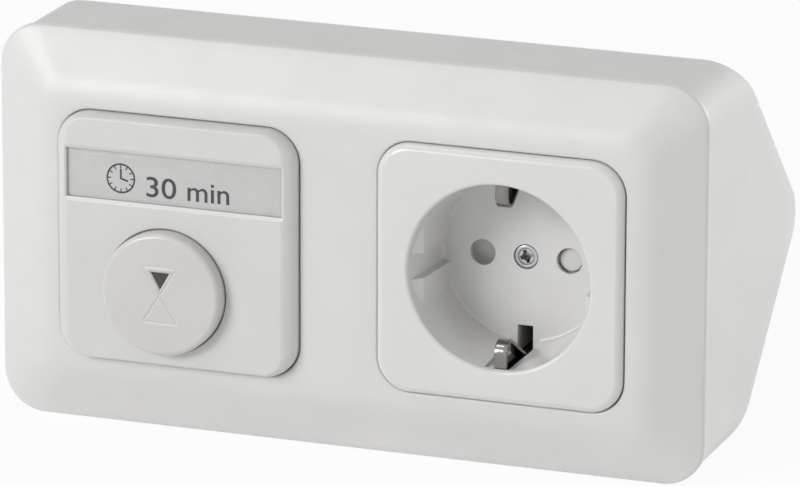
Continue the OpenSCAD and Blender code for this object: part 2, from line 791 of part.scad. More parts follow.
// Places of the timer's three terminals
module at_timer_terminals() {
    at_timer() for (k = [-1:1]) translate([k * terminal_pitch, terminal_y, terminal_z]) children();
}

// Square clamp with a wire hole along y and a screw hole from the back
module terminal_clamp() {
    difference() {
        block(clamp_size, clamp_size, -clamp_size / 2, clamp_size / 2);
        rotate([90, 0, 0]) cylinder(r = wire_d / 2 + seat_gap, h = clamp_size + cut, center = true);
        post(terminal_screw_r + run_gap, -clamp_size / 2 - cut, 0);
    }
}

module terminal_screw() {
    shank_l = (clamp_size - wire_d) / 2 - seat_gap;
    rotate([180, 0, 0]) translate([0, 0, clamp_size / 2])
        slotted_screw(terminal_screw_r, shank_l, terminal_head_r, terminal_head_h);
}

module timer_terminal_block() {
    wall = 1.2;
    block_w = 2 * terminal_pitch + clamp_size + 2 * wall + 2 * seat_gap;
    block_h = clamp_size + 2 * wall + 2 * seat_gap;
    pocket = clamp_size + 2 * seat_gap;
    color("#3a3b3e") difference() {
        at_timer() translate([0, terminal_y, 0]) block(block_w, block_h, terminal_block_z, housing_back_z);
        at_timer_terminals() {
            block(pocket, pocket, terminal_block_z - terminal_z - cut, clamp_size / 2);
            rotate([90, 0, 0]) cylinder(r = wire_d / 2 + pass_gap, h = block_h);
        }
    }
}

module timer_terminal_clamps() { color(brass) at_timer_terminals() terminal_clamp(); }

module timer_terminal_screws() { color(steel) at_timer_terminals() terminal_screw(); }

// Clearance of the well, with its rounded rim
module well_space() {
    rotate_extrude() {
        polygon([[0, well_floor_z], [well_floor_d / 2, well_floor_z], [well_r, socket_face_z - well_rim_r],
            [well_r, socket_face_z + cut], [0, socket_face_z + cut]]);
        difference() {
            translate([0, socket_face_z - well_rim_r]) square([well_r + well_rim_r, well_rim_r + cut]);
            translate([well_r + well_rim_r, socket_face_z - well_rim_r]) circle(well_rim_r);
        }
    }
}

// Flat pads left and right in the well, each split by a groove
module well_pads() {
    front = socket_face_z - pad_drop;
    for (side = [0, 1], half = [0, 1]) mirror([side, 0, 0]) mirror([0, half, 0])
        translate([0, well_r, 0]) rotate([90, 0, 0]) linear_extrude(well_r - pad_groove_w / 2)
            polygon([[pad_x, well_floor_z], [pad_x + pad_lean, front - pad_ramp],
                [pad_x + pad_lean + pad_ramp, front], [cup_r, front], [cup_r, well_floor_z]]);
}

module socket_cover() {
    skirt_z = ring_front_z + 1.4;
    inside = cover_size - 2 * socket_wall;
    face_t = socket_wall;
    slot_front = socket_face_z - nose_depth + nose_r + strap_t / 2 + pass_gap;
    slot_l = cup_r + cut - slot_y;
    color(shell) at_socket() difference() {
        union() {
            difference() {
                cushion_block(cover_size, cover_r, socket_edge_w, socket_edge_w, socket_edge_h,
                    socket_crease_r, skirt_z, socket_face_z);
                slab(inside, inside, cover_r - socket_wall, skirt_z - cut, socket_face_z - face_t);
            }
            post(cup_r, insert_front_z, socket_face_z - face_t / 2);
        }
        difference() {
            well_space();
            well_pads();
        }
        for (side = [-1, 1]) {
            translate([side * pin_pitch / 2, 0, 0])
                post(pin_hole_d / 2, insert_front_z - cut, well_floor_z + cut);
            translate([0, side * channel_y / 2, 0]) block(channel_w, channel_y, well_floor_z, slot_front);
            translate([0, side * (slot_y + slot_l / 2), 0])
                block(slot_w, slot_l, insert_front_z - cut, slot_front);
        }
        post(centre_head_r + seat_gap, well_floor_z - socket_wall / 2, well_floor_z + cut);
        post(ring_screw_r + pass_gap, insert_front_z - cut, well_floor_z);
    }
}

module socket_centre_screw() {
    color(steel) at_socket() translate([0, 0, well_floor_z - socket_wall / 2])
        slotted_screw(ring_screw_r, ring_screw_l, centre_head_r, socket_wall / 2);
}

// Bow-tie shutter that covers both pin holes
module socket_shutter() {
    r = recess_r - 2 * pass_gap;
    x = r * cos(shutter_half_angle);
    y = r * sin(shutter_half_angle);
    hub_r = shutter_boss_r + 1.3;
    front = insert_front_z - seat_gap;
    color("#e4e2de") at_socket() translate([0, 0, front - shutter_t]) linear_extrude(shutter_t) difference() {
        union() {
            intersection() {
                circle(r);
                union() for (side = [-1, 1]) polygon([[0, 0], [side * 2 * x, 2 * y], [side * 2 * x, -2 * y]]);
            }
            circle(hub_r);
        }
        circle(shutter_boss_r + run_gap);
    }
}

// Coil bent round the shutter's boss, between the shutter's right arm and the insert's stop
spring_path_r = 8.9;
stop_angle = 104;
stop_r = 1.1;
module shutter_spring() {
    wire_r = 0.2;
    coil_r = recess_depth / 2 - wire_r - seat_gap;
    turns = 6;
    start = shutter_half_angle + 3;
    finish = stop_angle - asin((stop_r + pass_gap) / spring_path_r) - 2;
    mid_z = insert_front_z - recess_depth / 2;
    color(steel) at_socket() loft([for (k = [0:turns * coil_steps])
        let (a = 360 * k / coil_steps, p = start + (finish - start) * k / (turns * coil_steps),
            along = [-sin(p), cos(p), 0],
            out = [cos(p), sin(p), 0] * cos(a) + [0, 0, sin(a)])
        [for (b = [0:60:300]) [0, 0, mid_z] + spring_path_r * [cos(p), sin(p), 0] + coil_r * out
            - wire_r * cos(b) * along + wire_r * sin(b) * out]]);
}

// Pocket behind each contact sleeve that holds its terminal
module terminal_pocket(side) {
    inner = pin_pitch / 2 - sleeve_r - sleeve_wall - pass_gap;
    outer = socket_terminal_x + clamp_size / 2 + pass_gap;
    top = sleeve_r + sleeve_wall + pass_gap;
    bottom = -socket_terminal_y - clamp_size / 2 - pass_gap;
    translate([side * (inner + outer) / 2, (top + bottom) / 2, 0])
        block(outer - inner, top - bottom, insert_back_z - cut, terminal_z + clamp_size / 2 + 1 + pass_gap);
}

module socket_insert() {
    pilot_l = ring_screw_l + cut;
    color("#d9d6cf") at_socket() difference() {
        union() {
            difference() {
                post(insert_disc_r, insert_step_z, insert_front_z);
                post(recess_r, recess_z, insert_front_z + cut);
            }
            intersection() {
                post(insert_disc_r, insert_back_z, insert_step_z);
                block(insert_w, 3 * insert_disc_r, insert_back_z, insert_step_z);
            }
            post(shutter_boss_r, recess_z, insert_front_z);
            rotate(stop_angle) translate([spring_path_r, 0, 0])
                post(stop_r, recess_z, insert_front_z - seat_gap);
        }
        post(ring_screw_r + run_gap, insert_front_z - pilot_l, insert_front_z + cut);
        post(terminal_screw_r + run_gap, insert_back_z - cut, insert_back_z + clamp_size);
        for (side = [-1, 1]) {
            translate([side * pin_pitch / 2, 0, 0])
                post(sleeve_r + sleeve_wall + pass_gap, insert_back_z - cut, recess_z + cut);
            terminal_pocket(side);
            translate([side * socket_terminal_x, -socket_terminal_y, terminal_z]) rotate([90, 0, 0])
                cylinder(r = wire_d / 2 + pass_gap, h = insert_disc_r);
            translate([0, side * (slot_y + insert_disc_r / 2), 0])
                block(slot_w, insert_disc_r, insert_step_z - insert_disc_t, insert_front_z + cut);
        }
    }
}

// Split sleeve for a plug pin, with a bridge to its wire clamp: side is -1 for the left one
module contact(side) {
    sleeve_out = sleeve_r + sleeve_wall;
    bridge_t = 1;
    bridge_z = terminal_z + clamp_size / 2;
    left = pin_pitch / 2 - sleeve_out;
    right = socket_terminal_x + clamp_size / 2;
    lower = socket_terminal_y + clamp_size / 2;
    color(brass) at_socket() {
        translate([side * pin_pitch / 2, 0, 0]) difference() {
            post(sleeve_out, bridge_z, recess_z - pass_gap);
            post(sleeve_r, bridge_z + bridge_t, recess_z + cut);
            block(0.8, 3 * sleeve_out, bridge_z + 3, recess_z + cut);
        }
        translate([side * (left + right) / 2, (sleeve_out - lower) / 2, 0])
            block(right - left, sleeve_out + lower, bridge_z, bridge_z + bridge_t);
        translate([side * socket_terminal_x, -socket_terminal_y, terminal_z]) terminal_clamp();
    }
}

module line_contact() { contact(-1); }

module neutral_contact() { contact(1); }

// Flat ribbon of thickness t along a path in the plane
function ribbon_side(path, d) = [for (i = [0:len(path) - 1])
    let (a = path[max(i - 1, 0)], b = path[min(i + 1, len(path) - 1)], v = (b - a) / norm(b - a))
    path[i] + d * [-v[1], v[0]]];
module ribbon(path, t) {
    far = ribbon_side(path, -t / 2);
    polygon(concat(ribbon_side(path, t / 2), [for (i = [len(far) - 1:-1:0]) far[i]]));
}

// Side view of one clip, from its root outside the cup, through the slot and back to its tip in the slot
module clip_outline() {
    centre = [nose_y + strap_t / 2 + nose_r, socket_face_z - nose_depth];
    knee = [strap_y, well_floor_z + 1];
    tip_y = well_r + socket_wall / 2;
    lean = atan((strap_y - nose_y - strap_t / 2) / (centre[1] - knee[1]));
    ribbon(concat([[strap_y, insert_front_z - 4 * strap_t], knee],
        [for (a = [180 + lean:-12:96]) centre + nose_r * [cos(a), sin(a)]],
        [centre + [0, nose_r], [tip_y, centre[1] + nose_r]]), strap_t);
}

module earth_strap() {
    back = insert_back_z - strap_t / 2;
    color(steel) at_socket() {
        for (side = [0, 1]) mirror([0, side, 0]) rotate([90, 0, 90]) {
            linear_extrude(clip_w, center = true) clip_outline();
            linear_extrude(strap_w, center = true) translate([strap_y - strap_t / 2, back - strap_t / 2])
                square([strap_t, insert_front_z - strap_t - back]);
        }
        difference() {
            block(strap_w, 2 * strap_y + strap_t, back - strap_t / 2, back + strap_t / 2);
            post(terminal_screw_r + pass_gap, back - strap_t, back + strap_t);
        }
    }
}

module socket_support_ring() {
    foot_z = insert_step_z;
    color(steel) at_socket() {
        difference() {
            ring_plate();
            post(leg_x, rim_z - cut, ring_front_z + cut);
        }
        for (side = [-1, 1]) {
            translate([side * (leg_x + ring_t / 2), 0, 0])
                block(ring_t, leg_w, foot_z - ring_t, ring_front_z);
            translate([side * (leg_x + ring_t - foot_l / 2 - ring_t / 2), 0, 0])
                block(foot_l + ring_t, leg_w, foot_z - ring_t, foot_z);
        }
    }
}

module socket_ring_screws() { color(steel) at_socket() ring_screws(); }

module socket_terminal_screws() {
    color(steel) at_socket() {
        for (side = [-1, 1]) translate([side * socket_terminal_x, -socket_terminal_y, terminal_z])
            terminal_screw();
        translate([0, 0, insert_back_z - strap_t]) rotate([180, 0, 0])
            slotted_screw(terminal_screw_r, clamp_size / 2, terminal_head_r, terminal_head_h);
    }
}

// Wire bent to a U in the plane of the terminals: from (x0, y0) down to y = -drop and up to (x1, y1)
module link_wire(x0, y0, x1, y1, drop) {
    r = wire_d / 2;
    bend = wire_bend_r;
    face_frame() translate([0, 0, terminal_z]) {
        translate([x0, bend - drop, 0]) rotate([-90, 0, 0]) cylinder(r = r, h = y0 + drop - bend);
        translate([x1, bend - drop, 0]) rotate([-90, 0, 0]) cylinder(r = r, h = y1 + drop - bend);
        translate([x0 + bend, -drop, 0]) rotate([0, 90, 0]) cylinder(r = r, h = x1 - x0 - 2 * bend);
        translate([x0 + bend, bend - drop, 0]) rotate(180)
            rotate_extrude(angle = 90) translate([bend, 0]) circle(r);
        translate([x1 - bend, bend - drop, 0]) rotate(270)
            rotate_extrude(angle = 90) translate([bend, 0]) circle(r);
    }
}

module line_link_wire() {
    color("#5a3c2a") link_wire(terminal_pitch - module_pitch / 2, terminal_y + clamp_size / 2,
        module_pitch / 2 - socket_terminal_x, clamp_size / 2 - socket_terminal_y, inner_wire_drop);
}

module neutral_link_wire() {
    color("#3f68a8") link_wire(-terminal_pitch - module_pitch / 2, terminal_y + clamp_size / 2,
        module_pitch / 2 + socket_terminal_x, clamp_size / 2 - socket_terminal_y,
        inner_wire_drop + wire_run_gap);
}

corner_box();
front_frame();
cable_grommet();
timer_cover();
label_window();
label_card();
timer_button();
button_lens();
button_return_spring();
timer_carrier_plate();
timer_support_ring();
timer_ring_screws();
timer_housing();
timer_circuit_board();
tact_switch();
tact_plunger();
indicator_led();
timer_chip();
timer_relay();
film_capacitor();
electrolytic_capacitor();
surge_varistor();
timer_terminal_block();
timer_terminal_clamps();
timer_terminal_screws();
socket_cover();
socket_centre_screw();
socket_shutter();
shutter_spring();
socket_insert();
line_contact();
neutral_contact();
earth_strap();
socket_support_ring();
socket_ring_screws();
socket_terminal_screws();
line_link_wire();
neutral_link_wire();
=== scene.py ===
"""Looks of a corner-mounted timer switch with an earthed socket outlet.

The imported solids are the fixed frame. Surfaces that the eye rests on are rebuilt here as fine numpy skins
of the same sizes, and every solid and skin gets a procedural finish. Sizes are millimetres in the face
frame, with x right, y up and z out of the frame's lip plane, and become metres in the shared frame when a
mesh is made.
"""

from __future__ import annotations

import logging
import math
from dataclasses import dataclass, field
from enum import Enum
from typing import Any, Sequence

import bmesh
import bpy
import numpy as np
from mathutils import Matrix, Vector

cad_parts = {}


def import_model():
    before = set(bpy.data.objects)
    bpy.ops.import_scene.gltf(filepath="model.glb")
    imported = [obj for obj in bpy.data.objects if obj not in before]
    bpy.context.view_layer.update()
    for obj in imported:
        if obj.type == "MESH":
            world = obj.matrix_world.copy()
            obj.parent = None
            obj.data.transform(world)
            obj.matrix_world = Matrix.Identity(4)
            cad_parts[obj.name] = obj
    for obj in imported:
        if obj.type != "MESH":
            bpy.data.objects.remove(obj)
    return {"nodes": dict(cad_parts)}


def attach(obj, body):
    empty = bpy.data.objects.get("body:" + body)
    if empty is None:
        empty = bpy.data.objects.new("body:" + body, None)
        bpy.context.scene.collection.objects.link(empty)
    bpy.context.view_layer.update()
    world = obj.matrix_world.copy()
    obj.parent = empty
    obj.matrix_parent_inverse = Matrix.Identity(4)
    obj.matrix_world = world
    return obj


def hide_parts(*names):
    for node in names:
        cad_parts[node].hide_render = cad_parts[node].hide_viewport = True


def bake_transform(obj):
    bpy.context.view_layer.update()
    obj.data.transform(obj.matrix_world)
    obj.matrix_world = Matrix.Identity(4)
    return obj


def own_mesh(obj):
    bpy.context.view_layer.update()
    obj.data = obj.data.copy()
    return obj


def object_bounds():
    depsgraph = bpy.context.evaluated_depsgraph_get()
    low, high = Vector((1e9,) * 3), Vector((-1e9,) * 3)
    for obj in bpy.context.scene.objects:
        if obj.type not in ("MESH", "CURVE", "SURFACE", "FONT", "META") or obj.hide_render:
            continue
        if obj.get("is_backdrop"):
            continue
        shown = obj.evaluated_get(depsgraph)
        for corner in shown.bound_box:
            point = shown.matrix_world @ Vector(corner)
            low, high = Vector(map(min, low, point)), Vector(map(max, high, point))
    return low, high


LOG = logging.getLogger("timer_switch")
MM = 0.001
# Distance of the frame's lip plane from the room corner's line, and of the two inserts from each other.
CORNER_DEPTH = 66.5
GANG_PITCH = 71.0
# How far a cutter reaches past the surface that it opens, and a step that keeps two faces out of one plane.
OVERCUT = 1.0
HAIR = 0.02
# Edges that turn by more degrees than this stay crisp.
CRISP_ANGLE = 32.0
# Points this close are merged and edges this short are dropped, in metres.
MERGE_DISTANCE = 2e-6
SHORTEST_EDGE = 1e-7

Array = np.ndarray
Line = Array | Sequence[Sequence[float]]
Object = bpy.types.Object


class Body(Enum):
    """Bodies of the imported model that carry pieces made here."""

    CASE = "case"
    BUTTON = "button"
    SHUTTER = "shutter"


class Gang(Enum):
    """Sideways place of each insert's centre, in millimetres."""

    TIMER = -GANG_PITCH / 2
    SOCKET = GANG_PITCH / 2


def face_to_world(points: Array) -> Array:
    """Turns face frame millimetres into shared frame metres, where z points along -Y and y along Z.

    Args:
        points: Points whose last axis is x, y, z.

    Returns:
        The same points in metres.
    """
    x, y, z = np.moveaxis(np.asarray(points, float), -1, 0)
    return np.stack((x, -CORNER_DEPTH - z, y), axis=-1) * MM


def lift(plan: Array, z: Array | float) -> Array:
    """Gives plan points a height.

    Args:
        plan: Points whose last axis is x, y.
        z: Height of all points, or of each.

    Returns:
        Points whose last axis is x, y, z.
    """
    height = np.broadcast_to(np.asarray(z, float), plan.shape[:-1])
    return np.concatenate((plan, height[..., None]), axis=-1)


def heading(angle: Array | float) -> Array:
    """Unit steps x, y at angles in radians."""
    return np.stack((np.cos(angle), np.sin(angle)), axis=-1)


@dataclass(frozen=True)
class LoopBasis:
    """A rounded rectangle's points, each a place on the inner rectangle plus an outward unit step.

    A point is core * (half size - radius) + radius * out, so loops of any size have matching points.
    """

    core: Array
    out: Array

    @classmethod
    def of(cls, along_x: int, along_y: int, per_corner: int) -> LoopBasis:
        """Builds the basis anticlockwise from the lower end of the right side.

        Args:
            along_x: Steps along the upper and the lower side.
            along_y: Steps along the left and the right side.
            per_corner: Steps round each corner.

        Returns:
            The basis.
        """
        run_x = np.linspace(-1, 1, along_x + 1)[:-1]
        run_y = np.linspace(-1, 1, along_y + 1)[:-1]
        turn = np.linspace(0, math.pi / 2, per_corner + 1)[:-1]
        corners = ((1, 1), (-1, 1), (-1, -1), (1, -1))
        sides = (
            np.stack((np.ones_like(run_y), run_y), axis=1),
            np.stack((-run_x, np.ones_like(run_x)), axis=1),
            np.stack((-np.ones_like(run_y), -run_y), axis=1),
            np.stack((run_x, -np.ones_like(run_x)), axis=1),
        )
        core, out = [], []
        for quarter, (side, corner) in enumerate(zip(sides, corners)):
            start = quarter * math.pi / 2
            core += [side, np.tile(np.array(corner, float), (per_corner, 1))]
            out += [np.tile(heading(start), (len(side), 1)), heading(turn + start)]
        return cls(np.concatenate(core), np.concatenate(out))

    def loops(
        self, half: Array, radius: Array | float, z: Array | float, centre: Sequence[float] = (0, 0)
    ) -> Array:
        """Carries the rounded rectangle along a profile of half sizes, radii and heights.

        Args:
            half: Half width and half height of each loop, or one number for a square.
            radius: Corner radius of each loop.
            z: Height of each loop.
            centre: Place of the loops' centre.

        Returns:
            One row of points for each loop.
        """
        half = np.asarray(half, float)
        half = half if half.ndim == 2 else np.stack((np.atleast_1d(half),) * 2, axis=1)
        count = max(len(half), np.size(radius), np.size(z))
        half = np.broadcast_to(half, (count, 2))[:, None, :]
        r = np.broadcast_to(np.asarray(radius, float), (count,))[:, None, None]
        plan = self.core * (half - r) + r * self.out + np.asarray(centre, float)
        return lift(plan, np.broadcast_to(np.asarray(z, float), (count,))[:, None])


def spin(profile: Line, rays: Array, centre: Sequence[float] = (0, 0)) -> Array:
    """Carries a profile of radius and height round an axis, along the given rays.

    Args:
        profile: Rows of radius and height.
        rays: Directions from the axis as x, y.
        centre: Place of the axis.

    Returns:
        One ring of points for each row.
    """
    profile = np.asarray(profile, float)
    unit = rays / np.linalg.norm(rays, axis=1, keepdims=True)
    plan = profile[:, 0, None, None] * unit + np.asarray(centre, float)
    return lift(plan, profile[:, 1, None])


def lathe(profile: Line, steps: int, centre: Sequence[float] = (0, 0)) -> Array:
    """Turns a profile of radius and height round an axis in even steps."""
    return spin(profile, heading(np.linspace(0, 2 * math.pi, steps, endpoint=False)), centre)


def fillet(corners: Sequence[tuple[float, float, float]], steps: int = 6) -> Array:
    """Line through corners in a plane, each rounded by its own radius.

    The rounding's centre lies on the bisector at radius / sin(half the inner angle), and its ends at
    radius / tan(half) along both sides.

    Args:
        corners: Rows of two coordinates and a radius.
        steps: Steps of each rounding.

    Returns:
        The line's points.
    """
    table = np.asarray(corners, float)
    points = [table[0, :2]]
    for before, here, after in zip(table[:-2, :2], table[1:-1], table[2:, :2]):
        corner, radius = here[:2], here[2]
        if radius == 0:
            points.append(corner)
            continue
        a = (before - corner) / np.linalg.norm(before - corner)
        b = (after - corner) / np.linalg.norm(after - corner)
        half = math.acos(float(a @ b)) / 2
        middle = corner + (a + b) / np.linalg.norm(a + b) * radius / math.sin(half)
        start = corner + a * radius / math.tan(half) - middle
        end = corner + b * radius / math.tan(half) - middle
        sweep = math.pi - 2 * half
        share = np.linspace(0, sweep, steps + 1)[:, None]
        points += list(middle + (np.sin(sweep - share) * start + np.sin(share) * end) / math.sin(sweep))
    points.append(table[-1, :2])
    return np.array(points)


def segment_distance(points: Array, start: Array, end: Array) -> Array:
    """Distance of points in a plane from a line between two ends.

    Args:
        points: Points as x, y.
        start: One end.
        end: The other end.

    Returns:
        The distance of each point.
    """
    along = end - start
    share = np.clip(((points - start) @ along) / (along @ along), 0, 1)
    return np.linalg.norm(points - start - share[..., None] * along, axis=-1)


def arc(centre: Sequence[float], radius: float, start: float, end: float, steps: int) -> Array:
    """Points on a circular arc in a plane, with angles in degrees."""
    return np.asarray(centre, float) + radius * heading(np.radians(np.linspace(start, end, steps + 1)))


def rays_to_square(direction: Array, half: Array | float, radius: Array | float) -> Array:
    """Points where rays from a rounded square's centre cross its outline.

    A ray meets the straight sides at half / max(|x|, |y|). Beyond the start of a corner it meets the corner's
    circle, at the larger root of |t d - c| = r with c = half - r on both axes.

    Args:
        direction: Rays as x, y, one each.
        half: Half size of each outline wanted.
        radius: Corner radius of each outline.

    Returns:
        One row of points for each outline.
    """
    unit = direction / np.linalg.norm(direction, axis=1, keepdims=True)
    half = np.atleast_1d(half).astype(float)[:, None]
    r = np.broadcast_to(np.atleast_1d(radius).astype(float)[:, None], half.shape)
    size = np.abs(unit)
    flat = half / size.max(axis=1)
    core = half - r
    across = core * size.sum(axis=1)
    root = across + np.sqrt(np.maximum(across**2 - 2 * core**2 + r**2, 0))
    in_corner = flat * size.min(axis=1) > core
    return np.where(in_corner, root, flat)[..., None] * unit


def add_object(name: str, data: Any) -> Object:
    """Puts an object with this data in the scene.

    Args:
        name: The object's name.
        data: Its mesh, curve, lamp or camera.

    Returns:
        The new object.
    """
    obj = bpy.data.objects.new(name, data)
    bpy.context.scene.collection.objects.link(obj)
    return obj


@dataclass
class Skin:
    """Grids and polygons gathered into one mesh with its seams merged."""

    name: str
    points: list[Array] = field(default_factory=list)
    polygons: list[list[int]] = field(default_factory=list)
    total: int = 0

    def grid(self, rows: Array, closed: bool = True) -> Skin:
        """Adds a grid of quads.

        Args:
            rows: Points by row and column.
            closed: Whether the last column joins the first.

        Returns:
            The skin.
        """
        down, across = rows.shape[:2]
        index = np.arange(down * across).reshape(down, across) + self.total
        near = index if closed else index[:, :-1]
        far = np.roll(index, -1, axis=1) if closed else index[:, 1:]
        quads = np.stack((near[:-1], far[:-1], far[1:], near[1:]), axis=-1).reshape(-1, 4)
        self.points.append(rows.reshape(-1, 3))
        self.polygons += quads.tolist()
        self.total += down * across
        return self

    def cap(self, loop: Array) -> Skin:
        """Adds one polygon over a flat loop.

        Args:
            loop: The loop's points.

        Returns:
            The skin.
        """
        self.points.append(loop)
        self.polygons.append(list(range(self.total, self.total + len(loop))))
        self.total += len(loop)
        return self

    def tube(self, rows: Array) -> Skin:
        """Adds a closed tube of rings with a polygon over each end."""
        return self.grid(rows).cap(rows[0]).cap(rows[-1])

    def build(self, sharp: float = CRISP_ANGLE) -> Object:
        """Makes the object, with doubles merged and faces turned outwards.

        Args:
            sharp: Angle in degrees past which an edge stays crisp.

        Returns:
            The new object, in the scene.
        """
        mesh = bpy.data.meshes.new(self.name)
        mesh.from_pydata(face_to_world(np.concatenate(self.points)), [], self.polygons)
        tidy_mesh(mesh, sharp)
        return add_object(self.name, mesh)


def turned(name: str, profile: Line, steps: int, centre: Sequence[float]) -> Object:
    """Solid turned from a profile of radius and height round an upright axis."""
    return Skin(name).tube(lathe(profile, steps, centre)).build()


def tidy_mesh(mesh: bpy.types.Mesh, sharp: float = CRISP_ANGLE) -> None:
    """Merges doubles, drops empty faces, turns faces outwards and shades them smooth up to an angle.

    Args:
        mesh: The mesh to tidy.
        sharp: Angle in degrees past which an edge stays crisp.
    """
    work = bmesh.new()
    work.from_mesh(mesh)
    bmesh.ops.remove_doubles(work, verts=work.verts, dist=MERGE_DISTANCE)
    bmesh.ops.dissolve_degenerate(work, edges=work.edges, dist=SHORTEST_EDGE)
    bmesh.ops.recalc_face_normals(work, faces=work.faces)
    work.to_mesh(mesh)
    work.free()
    mesh.shade_smooth()
    mesh.set_sharp_from_angle(angle=math.radians(sharp))
    mesh.update()


def carve(
    obj: Object, add: Sequence[Object] = (), cut: Sequence[Object] = (), sharp: float = CRISP_ANGLE
) -> Object:
    """Joins solids to a piece, cuts others out of it and keeps the result as its mesh.

    Args:
        obj: The piece.
        add: Solids to join to it.
        cut: Solids to cut out of it.
        sharp: Angle in degrees past which an edge stays crisp.

    Returns:
        The piece.
    """
    jobs = [(tool, "UNION") for tool in add] + [(tool, "DIFFERENCE") for tool in cut]
    for tool, operation in jobs:
        job = obj.modifiers.new(operation.title(), "BOOLEAN")
        job.operation = operation
        job.solver = "EXACT"
        job.object = tool
    graph = bpy.context.evaluated_depsgraph_get()
    result = bpy.data.meshes.new_from_object(obj.evaluated_get(graph))
    obj.modifiers.clear()
    old = obj.data
    result.name = obj.name
    obj.data = result
    bpy.data.meshes.remove(old)
    for tool, _ in jobs:
        data = tool.data
        bpy.data.objects.remove(tool)
        bpy.data.meshes.remove(data)
    tidy_mesh(obj.data, sharp)
    return obj


def linear(hex_colour: str) -> tuple[float, float, float, float]:
    """Turns an sRGB hex colour into linear red, green, blue and alpha.

    Args:
        hex_colour: Six hex digits.

    Returns:
        The four shares.
    """
    value = np.array([int(hex_colour[i : i + 2], 16) for i in (0, 2, 4)]) / 255
    low, high = value / 12.92, ((value + 0.055) / 1.055) ** 2.4
    red, green, blue = np.where(value <= 0.04045, low, high)
    return float(red), float(green), float(blue), 1.0


def add_node(
    tree: bpy.types.NodeTree, kind: str, inputs: dict[Any, Any] | None = None, **settings: Any
) -> Any:
    """Adds a node, applies its settings, and sets or links its inputs.

    Args:
        tree: The node tree.
        kind: The node's type name.
        inputs: Input names or numbers, each with a value or the output that feeds it.
        **settings: Properties of the node.

    Returns:
        The node.
    """
    node = tree.nodes.new(kind)
    for key, value in settings.items():
        setattr(node, key, value)
    for key, value in (inputs or {}).items():
        socket = node.inputs[key]
        if isinstance(value, bpy.types.NodeSocket):
            tree.links.new(value, socket)
        else:
            socket.default_value = value
    return node


def empty_tree(owner: bpy.types.Material | bpy.types.World) -> bpy.types.NodeTree:
    """Switches a material or the world to nodes and clears them.

    Args:
        owner: The material or world.

    Returns:
        Its empty node tree.
    """
    owner.use_nodes = True
    owner.node_tree.nodes.clear()
    return owner.node_tree


def per_metre(pattern_mm: float) -> float:
    """Scale of a pattern on Object coordinates whose features are this many millimetres wide."""
    return 1 / (pattern_mm * MM)


# Where the mottle's noise turns into the second and into the main colour.
MOTTLE_STOPS = (0.3, 0.65)
# Span of mottle times relief over which the roughness wanders.
GLOSS_SPAN = (0.1, 0.42)
COAT_ROUGHNESS = 0.12


